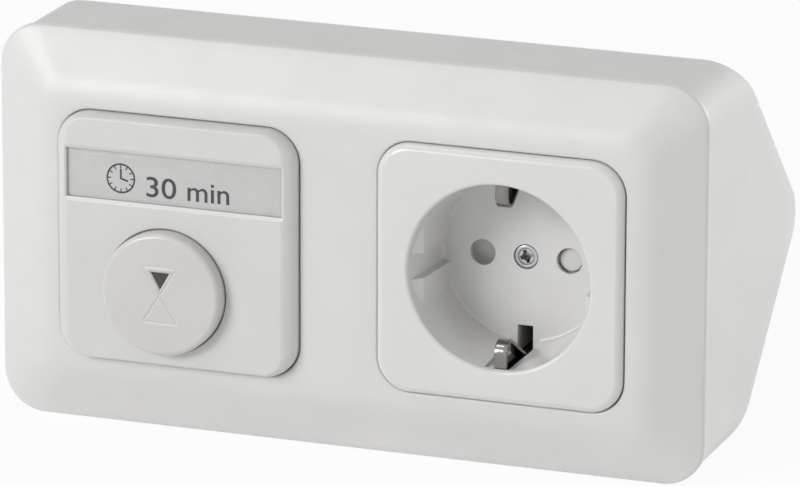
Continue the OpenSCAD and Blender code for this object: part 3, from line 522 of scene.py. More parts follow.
@dataclass(frozen=True)
class Finish:
    """A surface finish: two close colours in a soft mottle, a fine relief and a wandering roughness.

    Attributes:
        name: The real material and how its surface was made.
        colour: Main colour.
        second: Colour that the mottle drifts to.
        roughness: Roughest and smoothest value.
        mottle_mm: Width of the mottle's patches.
        relief_mm: Width of the relief's grains, drawn coarser than real ones so that they show.
        relief_depth_mm: Depth of the relief's grains.
        stretch: How much finer the relief is along x, y and z, for brushed or drawn surfaces.
        metallic: 1 for bare metal.
        ior: Index of refraction, for all but metals.
        coat: Strength of a clear coat.
        transmission: Share of light that passes through.
        sheen: Strength of soft fibres' glow.
    """

    name: str
    colour: str
    second: str
    roughness: tuple[float, float] = (0.42, 0.34)
    mottle_mm: float = 14.0
    relief_mm: float = 0.9
    relief_depth_mm: float = 0.004
    stretch: tuple[float, float, float] = (1.0, 1.0, 1.0)
    metallic: float = 0.0
    ior: float = 1.5
    coat: float = 0.0
    transmission: float = 0.0
    sheen: float = 0.0

    def make(self) -> bpy.types.Material:
        """Builds the material's nodes.

        Returns:
            The material.
        """
        material = bpy.data.materials.new(self.name)
        tree = empty_tree(material)
        place = add_node(tree, "ShaderNodeTexCoord").outputs["Object"]
        stretched = {"Vector": place, "Scale": self.stretch}
        drawn = add_node(tree, "ShaderNodeMapping", stretched).outputs["Vector"]
        soft = {"Vector": place, "Scale": per_metre(self.mottle_mm), "Detail": 3.0, "Roughness": 0.55}
        mottle = add_node(tree, "ShaderNodeTexNoise", soft).outputs["Fac"]
        fine = {"Vector": drawn, "Scale": per_metre(self.relief_mm), "Detail": 2.0}
        grain = add_node(tree, "ShaderNodeTexNoise", fine).outputs["Fac"]
        tone = add_node(tree, "ShaderNodeValToRGB", {"Fac": mottle})
        for stop, position, colour in zip(tone.color_ramp.elements, MOTTLE_STOPS, (self.second, self.colour)):
            stop.position = position
            stop.color = linear(colour)
        both = add_node(tree, "ShaderNodeMath", {0: mottle, 1: grain}, operation="MULTIPLY")
        span = {"Value": both.outputs["Value"], "From Min": GLOSS_SPAN[0], "From Max": GLOSS_SPAN[1]}
        span |= {"To Min": self.roughness[0], "To Max": self.roughness[1]}
        gloss = add_node(tree, "ShaderNodeMapRange", span)
        relief = {"Height": grain, "Strength": 1.0, "Distance": self.relief_depth_mm * MM}
        bump = add_node(tree, "ShaderNodeBump", relief)
        shader = add_node(
            tree,
            "ShaderNodeBsdfPrincipled",
            {
                "Base Color": tone.outputs["Color"],
                "Roughness": gloss.outputs["Result"],
                "Normal": bump.outputs["Normal"],
                "Metallic": self.metallic,
                "IOR": self.ior,
                "Coat Weight": self.coat,
                "Coat Roughness": COAT_ROUGHNESS,
                "Transmission Weight": self.transmission,
                "Sheen Weight": self.sheen,
            },
        )
        surface = self.let_lamps_through(tree, shader) if self.transmission else shader
        add_node(tree, "ShaderNodeOutputMaterial", {"Surface": surface.outputs[0]})
        return material

    @staticmethod
    def let_lamps_through(tree: bpy.types.NodeTree, shader: Any) -> Any:
        """Lets light straight through a clear piece to what lies behind, and bends only what is seen.

        Args:
            tree: The material's nodes.
            shader: The clear shader.

        Returns:
            The node to show.
        """
        path = add_node(tree, "ShaderNodeLightPath")
        rays = {0: path.outputs["Is Shadow Ray"], 1: path.outputs["Is Diffuse Ray"]}
        light = add_node(tree, "ShaderNodeMath", rays, operation="MAXIMUM")
        clear = add_node(tree, "ShaderNodeBsdfTransparent", {"Color": linear("FAFAFA")})
        layers = {0: light.outputs[0], 1: shader.outputs[0], 2: clear.outputs[0]}
        return add_node(tree, "ShaderNodeMixShader", layers)


# Each finish lists its colours, roughness, mottle's width, relief's width and relief's depth.

# Moulded ABS: a clean, faintly warm white with a soft satin gloss.
WHITE_PLASTIC = Finish("moulded_white_abs", "DBDAD8", "D8D7D5", (0.40, 0.32))
# The same ABS from a spark-textured mould, as surface boxes have: matt, with a fine grain.
BOX_PLASTIC = Finish("textured_white_abs", "DBDAD8", "D8D7D5", (0.62, 0.54), 14.0, 0.6, 0.006)
# Moulded thermoset of the inserts: a shade greyer than the frame, with a higher gloss.
COVER_PLASTIC = Finish("moulded_white_thermoset", "D6D5D3", "D3D2D0", (0.24, 0.18), 14.0, 0.9, 0.001)
# Moulded polycarbonate of the socket: a shade whiter than the timer's cover.
SOCKET_PLASTIC = Finish("moulded_white_polycarbonate", "DDDCDA", "DAD9D7", (0.24, 0.18), 14.0, 0.9, 0.001)
# Moulded button plastic: another shade greyer.
BUTTON_PLASTIC = Finish("moulded_white_button", "D0CECC", "CDCBC8", (0.26, 0.20), 14.0, 0.9, 0.001)
# Synthetic rubber: matt near-black with a slight bloom.
GROMMET_RUBBER = Finish(
    "moulded_black_rubber", "33343A", "3D3E42", (0.72, 0.6), 6.0, 0.5, 0.01, ior=1.52, sheen=0.1
)
# Cast acrylic: clear and polished.
CLEAR_PLASTIC = Finish(
    "polished_clear_acrylic", "FFFFFF", "FCFDFD", (0.05, 0.03), 20.0, 4.0, 0.00004, ior=1.42, transmission=1.0
)
# Uncoated card: pale grey, matt, with fine fibres.
LABEL_CARD = Finish(
    "grey_uncoated_card", "CDCCCA", "C9C8C6", (0.9, 0.8), 3.0, 0.25, 0.008, (1.0, 1.0, 3.0), ior=1.45
)
# Screen ink: dense soft black.
PRINT_INK = Finish("screen_ink_black", "121211", "181817", (0.75, 0.6), 2.0, 0.3, 0.003, ior=1.45)
# Tinted acrylic: dark brown-grey that stays glossy.
SMOKED_PLASTIC = Finish("smoked_acrylic", "4B4743", "3D3936", (0.2, 0.12), 3.0, 0.8, 0.001, ior=1.49)
# Drawn spring steel: grey with a fine grain.
SPRING_STEEL = Finish("drawn_spring_steel", "9FA1A3", "8B8D90", (0.4, 0.28), 4.0, 0.3, 0.003, metallic=1.0)
# Zinc plating on rolled sheet: pale grey with a cloudy lustre.
ZINC_STEEL = Finish(
    "zinc_plated_steel", "BDBEBE", "A9AAAA", (0.42, 0.26), 5.0, 0.6, 0.004, (1.0, 3.0, 1.0), metallic=1.0
)
# Nickel plating on punched strip with fine draw lines, drawn a much darker grey than bright nickel to stand
# for the shade in the plug well: painted shade.
SHADED_NICKEL_STRAP = Finish(
    "nickel_plated_strap", "8E8B86", "7D7A75", (0.24, 0.15), 3.0, 0.35, 0.002, (3.0, 1.0, 1.0), metallic=1.0
)
# Flame-retardant moulding compound: matt pale grey.
INNER_PLASTIC = Finish("moulded_grey_polyamide", "D3D2CE", "CBCAC5", (0.55, 0.45), 10.0, 0.6, 0.006, ior=1.53)
# Pressed urea resin with a dull gloss, drawn a darker grey than its own pale cream so that the clip slots in
# front of it look dark: painted shade.
SHADED_INSERT_PLASTIC = Finish("pressed_urea_resin", "A8A59D", "9F9C94", (0.5, 0.4), 8.0, 0.7, 0.005, ior=1.55)
# Glass-fibre laminate under green solder mask, whose weave shows as a fine ripple.
CIRCUIT_LAMINATE = Finish("solder_mask_laminate", "2C6A44", "245A39", (0.35, 0.25), 2.5, 0.5, 0.004, coat=0.3)
# Moulded black housing plastic: satin.
BLACK_PLASTIC = Finish("moulded_black_plastic", "2A2B2E", "323337", (0.45, 0.36), 6.0, 0.5, 0.005)
# Tinted epoxy: red with a wet gloss.
RED_LENS = Finish("cast_red_epoxy", "D2492A", "B93C22", (0.12, 0.08), 2.0, 1.0, 0.001, ior=1.54, coat=0.4)
# Relay case: moulded dark blue polyester.
RELAY_PLASTIC = Finish("moulded_blue_polyester", "2E4976", "29426C", (0.42, 0.34), 6.0, 0.6, 0.004)
# Film capacitor: amber epoxy-dipped box.
FILM_CASE = Finish("dipped_amber_epoxy", "B5862E", "A67828", (0.3, 0.2), 4.0, 1.2, 0.006, coat=0.3)
# Heat-shrunk sleeve on an aluminium can: dark, faintly ridged.
CAPACITOR_CAN = Finish("shrunk_dark_sleeve", "33343A", "2B2C31", (0.38, 0.26), 4.0, 0.8, 0.004)
# Dipped varistor lacquer: uneven gloss blue.
VARISTOR_LACQUER = Finish("dipped_blue_lacquer", "2A63A2", "235590", (0.34, 0.2), 2.5, 0.9, 0.01, coat=0.2)
# Turned brass: yellow with fine tool marks.
BRASS = Finish(
    "turned_brass", "C6A45B", "B4924C", (0.36, 0.24), 3.0, 0.3, 0.003, (1.0, 3.0, 1.0), metallic=1.0
)
# Extruded PVC in the phase colour.
BROWN_PVC = Finish(
    "extruded_brown_pvc", "5A3C2A", "4F3424", (0.45, 0.38), 8.0, 0.6, 0.004, (0.3, 1.0, 1.0), ior=1.53
)
# Extruded PVC in the neutral colour.
BLUE_PVC = Finish(
    "extruded_blue_pvc", "3C66A6", "355B96", (0.45, 0.38), 8.0, 0.6, 0.004, (0.3, 1.0, 1.0), ior=1.53
)

NODE_FINISHES: dict[Finish, tuple[str, ...]] = {
    GROMMET_RUBBER: ("cable_grommet",),
    INNER_PLASTIC: ("timer_carrier_plate", "timer_housing"),
    ZINC_STEEL: (
        "timer_support_ring",
        "timer_ring_screws",
        "timer_terminal_screws",
        "socket_support_ring",
        "socket_ring_screws",
        "socket_terminal_screws",
    ),
    CIRCUIT_LAMINATE: ("timer_circuit_board",),
    BLACK_PLASTIC: ("tact_switch", "tact_plunger", "timer_chip", "timer_terminal_block"),
    RED_LENS: ("indicator_led",),
    RELAY_PLASTIC: ("timer_relay",),
    FILM_CASE: ("film_capacitor",),
    CAPACITOR_CAN: ("electrolytic_capacitor",),
    VARISTOR_LACQUER: ("surge_varistor",),
    BRASS: ("timer_terminal_clamps", "line_contact", "neutral_contact"),
    # The insert's darkened grey stands for the shade inside the clip slots: painted shade.
    SHADED_INSERT_PLASTIC: ("socket_insert",),
    BROWN_PVC: ("line_link_wire",),
    BLUE_PVC: ("neutral_link_wire",),
}


@dataclass
class Workshop:
    """Keeps one material for each finish and settles finished pieces on their bodies."""

    materials: dict[Finish, bpy.types.Material] = field(default_factory=dict)

    def dress(self, obj: Object, finish: Finish) -> Object:
        """Gives a piece its finish.

        Args:
            obj: The piece.
            finish: Its finish.

        Returns:
            The piece.
        """
        if finish not in self.materials:
            self.materials[finish] = finish.make()
        obj.data.materials.clear()
        obj.data.materials.append(self.materials[finish])
        return obj

    def settle(
        self, obj: Object, finish: Finish, body: Body | None, nodes: Sequence[str] = ()
    ) -> Object:
        """Dresses a piece and lets it ride on its body in place of CAD nodes.

        Args:
            obj: The piece.
            finish: Its finish.
            body: The body that carries it, or None for a piece left on no body.
            nodes: CAD nodes that it stands for.

        Returns:
            The piece.
        """
        self.dress(obj, finish)
        if body:
            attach(obj, body.value)
        if nodes:
            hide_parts(*nodes)
        LOG.info("%s: %d faces on %s", obj.name, len(obj.data.polygons), body.value if body else "two bodies")
        return obj


@dataclass
class FrontFrame:
    """Convex two-gang frame: an upright lip, a sloping band that rounds into a flat middle, and two openings.

    Distances s run in from the outer edge. The rings' corners tighten from corner_r at the edge to plateau_r
    at the end of the band. The face's patches begin at face_s, and the inner ones at the first of inner_run.
    """

    half: tuple[float, float] = (78.0, 42.5)
    corner_r: float = 9.0
    plateau_r: float = 4.0
    band: float = 15.0
    straight: float = 9.0
    slope: float = 0.5
    lip_h: float = 1.6
    lip_r: float = 0.8
    wall: float = 2.2
    face_s: float = 13.5
    inner_run: tuple[float, ...] = (12.5, 11.5, 10.5, 9.5, 8.0, 5.0)
    seam_steps: int = 40
    opening: float = 26.85
    opening_r: float = 7.3
    opening_drop: float = 0.06
    edge: tuple[float, float] = (0.5, 0.9)
    collar: float = 1.2
    collar_z: float = 1.8

    @property
    def crown(self) -> float:
        """Height of the flat middle, where the parabola after the straight slope ends level."""
        return self.slope * (self.band + self.straight) / 2

    @property
    def tightening(self) -> float:
        """Loss of the rings' corner radius for each millimetre in from the edge."""
        return (self.corner_r - self.plateau_r) / self.band

    def height(self, s: Array) -> Array:
        """Height at a distance s in from the edge: a straight slope, then a parabola that ends level.

        Args:
            s: The distances.

        Returns:
            The heights.
        """
        rest = np.maximum(self.band - s, 0)
        bend = self.slope / (2 * (self.band - self.straight))
        return np.where(s < self.straight, self.slope * s, self.crown - bend * rest**2)

    def inset(self, plan: Array) -> Array:
        """Distance s of the ring through each point.

        In a corner the ring's circle passes through the point. With r the edge's corner radius, k the
        tightening, m = 1 - k and d the point's offset from the centre of the edge's corner, the circle's
        radius is r - k s and its centre lies m s further in on both axes. That gives
        (2 m^2 - k^2) s^2 + 2 (m (dx + dy) + k r) s + dx^2 + dy^2 - r^2 = 0. Elsewhere s is the distance
        to the side.

        Args:
            plan: Points as x, y.

        Returns:
            The distance for each point.
        """
        size = np.abs(plan)
        side = np.min(np.asarray(self.half) - size, axis=-1)
        d = size - (np.asarray(self.half) - self.corner_r)
        k = self.tightening
        m = 1 - k
        a = 2 * m**2 - k**2
        b = 2 * (m * d.sum(axis=-1) + k * self.corner_r)
        c = (d**2).sum(axis=-1) - self.corner_r**2
        corner = (-b + np.sqrt(np.maximum(b**2 - 4 * a * c, 0))) / (2 * a)
        in_corner = (d + m * corner[..., None] > 0).all(axis=-1)
        return np.where(in_corner, corner, side)

    def rings(self, basis: LoopBasis, s: Array, z: Array) -> Array:
        """The frame's rings at the given distances in from its edge."""
        half = np.asarray(self.half) - np.atleast_1d(s)[:, None]
        return basis.loops(half, self.corner_r - self.tightening * s, z)

    def half_loop(self, basis: LoopBasis, s: float) -> Array:
        """The ring's right half from bottom to top, closed along the middle of the frame, as x, y.

        Args:
            basis: The outline's points.
            s: The ring's distance in from the edge.

        Returns:
            The loop's points.
        """
        ring = self.rings(basis, np.array([s]), np.array([0.0]))[0, :, :2]
        start = int(np.argmin(np.where(ring[:, 1] > 0, np.inf, np.abs(ring[:, 0]))))
        right = np.roll(ring, -start, axis=0)[: len(ring) // 2 + 1]
        top = right[-1, 1]
        middle = np.linspace(top, -top, self.seam_steps + 1)[1:-1]
        return np.concatenate((right, np.stack((np.zeros_like(middle), middle), axis=1)))

    def add_band(self, skin: Skin, basis: LoopBasis) -> None:
        """Adds the rings of the lip and the band, outside and inside.

        Args:
            skin: The skin to add to.
            basis: The outline's points.
        """
        turn = np.radians(np.linspace(0, 90 - math.degrees(math.atan(self.slope)), 7))
        lip_s = self.lip_r * (1 - np.cos(turn))
        lip_z = self.lip_r * (self.slope - math.hypot(1, self.slope)) + self.lip_r * np.sin(turn)
        rising = np.linspace(lip_s[-1], self.straight, 7)[1:]
        run = np.concatenate((rising, np.linspace(self.straight, self.face_s, 10)[1:]))
        outer_s = np.concatenate(([0.0], lip_s, run))
        outer_z = np.concatenate(([-self.lip_h], lip_z, self.height(run)))
        inner_s = np.array([*self.inner_run, self.wall, self.wall, 0.0])
        inner_z = np.concatenate((self.height(inner_s[:-2]) - self.wall, [-self.lip_h, -self.lip_h]))
        skin.grid(self.rings(basis, outer_s, outer_z)).grid(self.rings(basis, inner_s, inner_z))

    def add_openings(self, skin: Skin, basis: LoopBasis) -> None:
        """Adds each opening's rolled edge and collar, and the patches that join them to the band.

        Args:
            skin: The skin to add to.
            basis: The outline's points.
        """
        front, back = self.half_loop(basis, self.face_s), self.half_loop(basis, self.inner_run[0])
        centre = np.array([Gang.SOCKET.value, -self.opening_drop])
        roll = np.radians(np.linspace(0, 90, 7))
        wide, deep = self.edge
        outside, under = self.opening + self.collar, self.crown - self.wall
        half = np.concatenate((self.opening + wide * (1 - np.sin(roll)), [self.opening, outside, outside]))
        z = np.concatenate((self.crown - deep * (1 - np.cos(roll)), [self.collar_z, self.collar_z, under]))
        loops = rays_to_square(front - centre, half, half - self.opening + self.opening_r) + centre
        share = np.linspace(0, 1, 6)[:, None, None]
        face = front * (1 - share) + loops[0] * share
        below = loops[-1] * (1 - share) + back * share
        face_z = self.height(self.inset(face))
        face_z[-1] = self.crown
        below_z = self.height(self.inset(below)) - self.wall
        below_z[0] = under
        for side in (1.0, -1.0):
            for plan, height in ((face, face_z), (loops, z[:, None]), (below, below_z)):
                skin.grid(lift(plan * np.array([side, 1.0]), height))

    def build(self) -> Object:
        """Builds the frame's closed skin.

        Returns:
            The new object.
        """
        basis = LoopBasis.of(along_x=72, along_y=36, per_corner=14)
        skin = Skin("front_frame_shell")
        self.add_band(skin, basis)
        self.add_openings(skin, basis)
        return skin.build()


@dataclass
class CornerBox:
    """Closed surface box: straight walls and two 45 degree back faces that meet in a rounded edge."""

    half: tuple[float, float] = (77.5, 42.0)
    corner_r: float = 8.5
    wall: float = 2.0
    apex_r: float = 7.2
    rim_z: float = -1.6
    edge_r: float = 1.0
    hole_spacing: float = 100.0
    hole_height: float = 21.0
    hole_r: float = 2.25
    entry_r: float = 8.0
    pillar_r: float = 3.5
    screw_r: float = 1.55
    screw_pitch: float = 60.0
    pilot_z: float = -14.0

    def back(self, y: Array | float, wall: float) -> Array:
        """Depth of the back at a height y: |y| - depth, with a circle of the apex radius in the middle.

        Args:
            y: The heights.
            wall: How far the surface lies inside the outer one.

        Returns:
            The depths, as z.
        """
        depth, r = CORNER_DEPTH - wall * math.sqrt(2), self.apex_r - wall
        bow = r * math.sqrt(2) - np.sqrt(np.maximum(r**2 - y**2, 0))
        return np.where(np.abs(y) < r / math.sqrt(2), bow, np.abs(y)) - depth

    def shell(
        self, skin: Skin, basis: LoopBasis, steps: tuple[int, int, int], wall: float, edge: float
    ) -> Array:
        """Adds the outside or the inside of the box.

        The walls run back from the rim to where an edge of radius edge rolls them into the back faces. The
        back is a grid of lines across the box, one for each height of the outline's right half.

        Args:
            skin: The skin to add to.
            basis: The outline's points.
            steps: Steps along x, along y and round a corner.
            wall: How far the shell lies inside the outer one.
            edge: Radius of the rolled edge.

        Returns:
            The loop at the rim.
        """
        size = np.asarray(self.half) - wall
        turn = np.radians(np.linspace(0, 90, 6))[1:]
        share = np.linspace(0, 1, 10)[:, None]
        upright = len(share)
        inset = np.concatenate((np.zeros(upright), edge * (1 - np.cos(turn))))
        rows = basis.loops(size - inset[:, None], self.corner_r - wall - inset, 0.0)
        depth = self.back(rows[..., 1], wall)
        rows[:upright, :, 2] = self.rim_z * (1 - share) + (depth[:upright] + edge) * share
        rows[upright:, :, 2] = depth[upright:] + edge * (1 - np.sin(turn[:, None]))
        skin.grid(rows)
        along_x, along_y, per_corner = steps
        first = len(basis.core) - per_corner
        pick = np.arange(first, first + 2 * per_corner + along_y + 1) % len(basis.core)
        edge_row = rows[-1, pick]
        across = np.linspace(-1, 1, along_x + 1)
        x = edge_row[:, :1] * across
        y, z = (np.repeat(edge_row[:, k : k + 1], along_x + 1, axis=1) for k in (1, 2))
        skin.grid(np.stack((x, y, z), axis=-1), False)
        return rows[0]

    def back_hole(self, name: str, side: int, x: float, radius: float) -> Object:
        """A round cutter square to a back face.

        Args:
            name: The cutter's name.
            side: 1 for the upper back face, -1 for the lower.
            x: Sideways place.
            radius: Radius of the hole.

        Returns:
            The new object.
        """
        ring = lathe([(radius, -self.wall - OVERCUT), (radius, OVERCUT)], steps=56)
        foot = np.array([x, side * self.hole_height, self.hole_height - CORNER_DEPTH])
        across = np.array([0.0, 1.0, side]) / math.sqrt(2)
        normal = np.array([0.0, side, -1.0]) / math.sqrt(2)
        axes = np.array([(1.0, 0.0, 0.0), across, normal])
        return Skin(name).tube(foot + ring @ axes).build()

    def build(self) -> Object:
        """Builds the box with its screw pillars, fixing holes and cable entry.

        Returns:
            The new object.
        """
        steps = (40, 90, 12)
        basis = LoopBasis.of(*steps)
        skin = Skin("corner_box_shell")
        outer = self.shell(skin, basis, steps, 0.0, self.edge_r)
        inner = self.shell(skin, basis, steps, self.wall, 0.0)
        box = skin.grid(np.stack((outer, inner))).build()
        # The pillars' feet sink a little into the rounded back, so that they join it all round.
        foot = float(self.back(0.0, self.wall)) - self.wall / 4
        pillar = [(self.pillar_r, foot), (self.pillar_r, self.rim_z)]
        pilot = [(self.screw_r, self.pilot_z), (self.screw_r, 0.0)]
        pillars, cutters = [], []
        for gang in Gang:
            for side in (-1, 1):
                at = (gang.value + side * self.screw_pitch / 2, 0.0)
                pillars.append(turned("pillar", pillar, steps=32, centre=at))
                cutters.append(turned("pilot", pilot, steps=24, centre=at))
        for face in (-1, 1):
            for x in (-self.hole_spacing / 2, self.hole_spacing / 2):
                cutters.append(self.back_hole("fixing", face, x, self.hole_r))
        cutters.append(self.back_hole("entry", 1, 0.0, self.entry_r))
        return carve(box, pillars, cutters)


@dataclass
class CoverBlank:
    """Square hollow cover whose front edge bows in and meets a flat face in a fine crease."""

    half: float = 26.7
    corner_r: float = 7.15
    wall: float = 2.0
    edge_w: float = 2.4
    end_w: float = 0.8
    edge_h: float = 2.8
    crease_r: float = 2.0
    skirt_z: float = -0.4
    face_z: float = 9.2
    flat: float = 1.5

    def edge(self) -> tuple[Array, Array]:
        """Line up the outside and over the edge.

        The bow (1 - cos a, sin a) stops where a third of the straight slope is left, and the crease turns the
        rest. The line ends on the flat face.

        Returns:
            How far the line lies in from the side, and its height.
        """
        tilt = math.atan(self.edge_h / self.edge_w / 3)
        rise = self.edge_h - self.crease_r * (1 - math.cos(tilt))
        slack = math.tan(tilt) * self.edge_w / rise
        turn = math.acos(slack / (1 - slack))
        a, b = np.linspace(0, turn, 13), np.linspace(tilt, 0, 7)[1:]
        bow = self.edge_w * (1 - np.cos(a)) / (1 - math.cos(turn))
        crease = self.edge_w + self.crease_r * (math.sin(tilt) - np.sin(b))
        bow_z = self.face_z - self.edge_h + rise * np.sin(a) / math.sin(turn)
        crease_z = self.face_z - self.crease_r * (1 - np.cos(b))
        inset = np.concatenate(([0.0], bow, crease, [self.edge_w + self.flat]))
        return inset, np.concatenate(([self.skirt_z], bow_z, crease_z, [self.face_z]))

    def build(self, name: str, gang: Gang) -> Object:
        """Builds the blank: rings up the outside, over the edge to the flat face, and up the inside.

        Args:
            name: The piece's name.
            gang: The insert that it covers.

        Returns:
            The new object.
        """
        basis = LoopBasis.of(along_x=24, along_y=24, per_corner=16)
        inset, z = self.edge()
        centre = (gang.value, 0.0)
        half = self.half - np.stack((inset, inset * self.end_w / self.edge_w), axis=1)
        outer = basis.loops(half, self.corner_r - inset, z, centre)
        hollow = np.array([self.skirt_z, self.face_z - self.wall])
        inner = basis.loops(np.full(2, self.half - self.wall), self.corner_r - self.wall, hollow, centre)
        skin = Skin(name).grid(outer).cap(outer[-1]).grid(inner).cap(inner[-1])
        return skin.grid(np.stack((outer[0], inner[0]))).build()


@dataclass
class LabelPrint:
    """Clock sign and running time on the label card, as flat ink.

    Attributes:
        centre: Centre of the timer's cover.
        z: Height of the card's front.
        ink_t: Thickness of the ink.
        stroke_t: Thickness of a stroke, which lies a hair lower where it crosses the ring.
        clock_at: Centre of the clock sign, from the cover's centre.
        clock_r: Radius of its ring.
        ring: How far the ring's line reaches in and out.
        mark: How far an hour's mark reaches in from the ring, and its width.
        hands: Direction in radians and share of the radius of each hand.
        hand: Width of a hand, and its tail past the centre.
        words: Name, text, left edge and right edge of each word.
        baseline: Height of the words' baseline.
        figure_h: Height of a figure.
        font_figure_h: Height of a figure in the built-in font at size 1.
        font_growth: How far the letters' outlines grow at size 1.
    """

    centre: Array
    z: float
    ink_t: float = 0.02
    stroke_t: float = 0.018
    clock_at: tuple[float, float] = (-12.0, 13.3)
    clock_r: float = 3.1
    ring: tuple[float, float] = (0.25, 0.13)
    mark: tuple[float, float] = (0.95, 0.26)
    hands: tuple[tuple[float, float], ...] = ((math.pi / 2, 0.66), (-0.3, 0.55))
    hand: tuple[float, float] = (0.4, 0.15)
    words: tuple[tuple[str, str, float, float], ...] = (
        ("label_print_number", "30", -6.3, 0.4),
        ("label_print_unit", "min", 2.9, 12.2),
    )
    baseline: float = 10.0
    figure_h: float = 4.5
    font_figure_h: float = 0.73
    font_growth: float = 0.006

    def build(self) -> list[Object]:
        """Builds the clock sign and each word."""
        return [self.clock()] + [self.word(*word) for word in self.words]

    def clock(self) -> Object:
        """Clock sign: a ring, twelve marks and two hands.

        Returns:
            The new object.
        """
        skin = Skin("label_print_clock")
        low, high = self.z, self.z + self.ink_t
        inner, outer = self.clock_r - self.ring[0], self.clock_r + self.ring[1]
        line = [(inner, low), (inner, high), (outer, high), (outer, low), (inner, low)]
        skin.grid(lathe(line, steps=72, centre=self.centre + self.clock_at))
        reach, width = self.mark
        for turn in np.radians(np.arange(0, 360, 30)):
            self.stroke(skin, turn, self.clock_r - reach, inner, width)
        width, tail = self.hand
        for turn, share in self.hands:
            self.stroke(skin, turn, -tail, self.clock_r * share, width)
        return skin.build()

    def stroke(self, skin: Skin, turn: float, near: float, far: float, width: float) -> None:
        """Adds a flat bar that points away from the clock's centre.

        Args:
            skin: The skin to add to.
            turn: Direction in radians.
            near: Distance of the bar's near end.
            far: Distance of its far end.
            width: Width of the bar.
        """
        along = heading(turn)
        side = np.array([-along[1], along[0]]) * width / 2
        corners = [along * near - side, along * far - side, along * far + side, along * near + side]
        plan = self.centre + self.clock_at + np.array(corners)
        skin.tube(np.stack((lift(plan, self.z), lift(plan, self.z + self.stroke_t))))

    def word(self, name: str, text: str, left: float, right: float) -> Object:
        """Sets a word in the built-in font and fits it between two edges.

        Args:
            name: The piece's name.
            text: The word.
            left: Left edge, from the cover's centre.
            right: Right edge.

        Returns:
            The new object.
        """
        curve = bpy.data.curves.new(name, "FONT")
        curve.body = text
        # The extrusion only tells front from back, whose heights are set below.
        curve.extrude = 0.5
        curve.offset = self.font_growth
        holder = add_object(name, curve)
        graph = bpy.context.evaluated_depsgraph_get()
        mesh = bpy.data.meshes.new_from_object(holder.evaluated_get(graph))
        bpy.data.objects.remove(holder)
        bpy.data.curves.remove(curve)
        points = np.empty(len(mesh.vertices) * 3)
        mesh.vertices.foreach_get("co", points)
        across, up, out = points.reshape(-1, 3).T
        low, high = across.min(), across.max()
        x = self.centre[0] + left + (across - low) / (high - low) * (right - left)
        y = self.baseline + up / self.font_figure_h * self.figure_h
        places = lift(np.stack((x, y), axis=1), self.z + self.ink_t * (out > 0))
        mesh.vertices.foreach_set("co", face_to_world(places).astype(np.float32).ravel())
        tidy_mesh(mesh)
        return add_object(name, mesh)


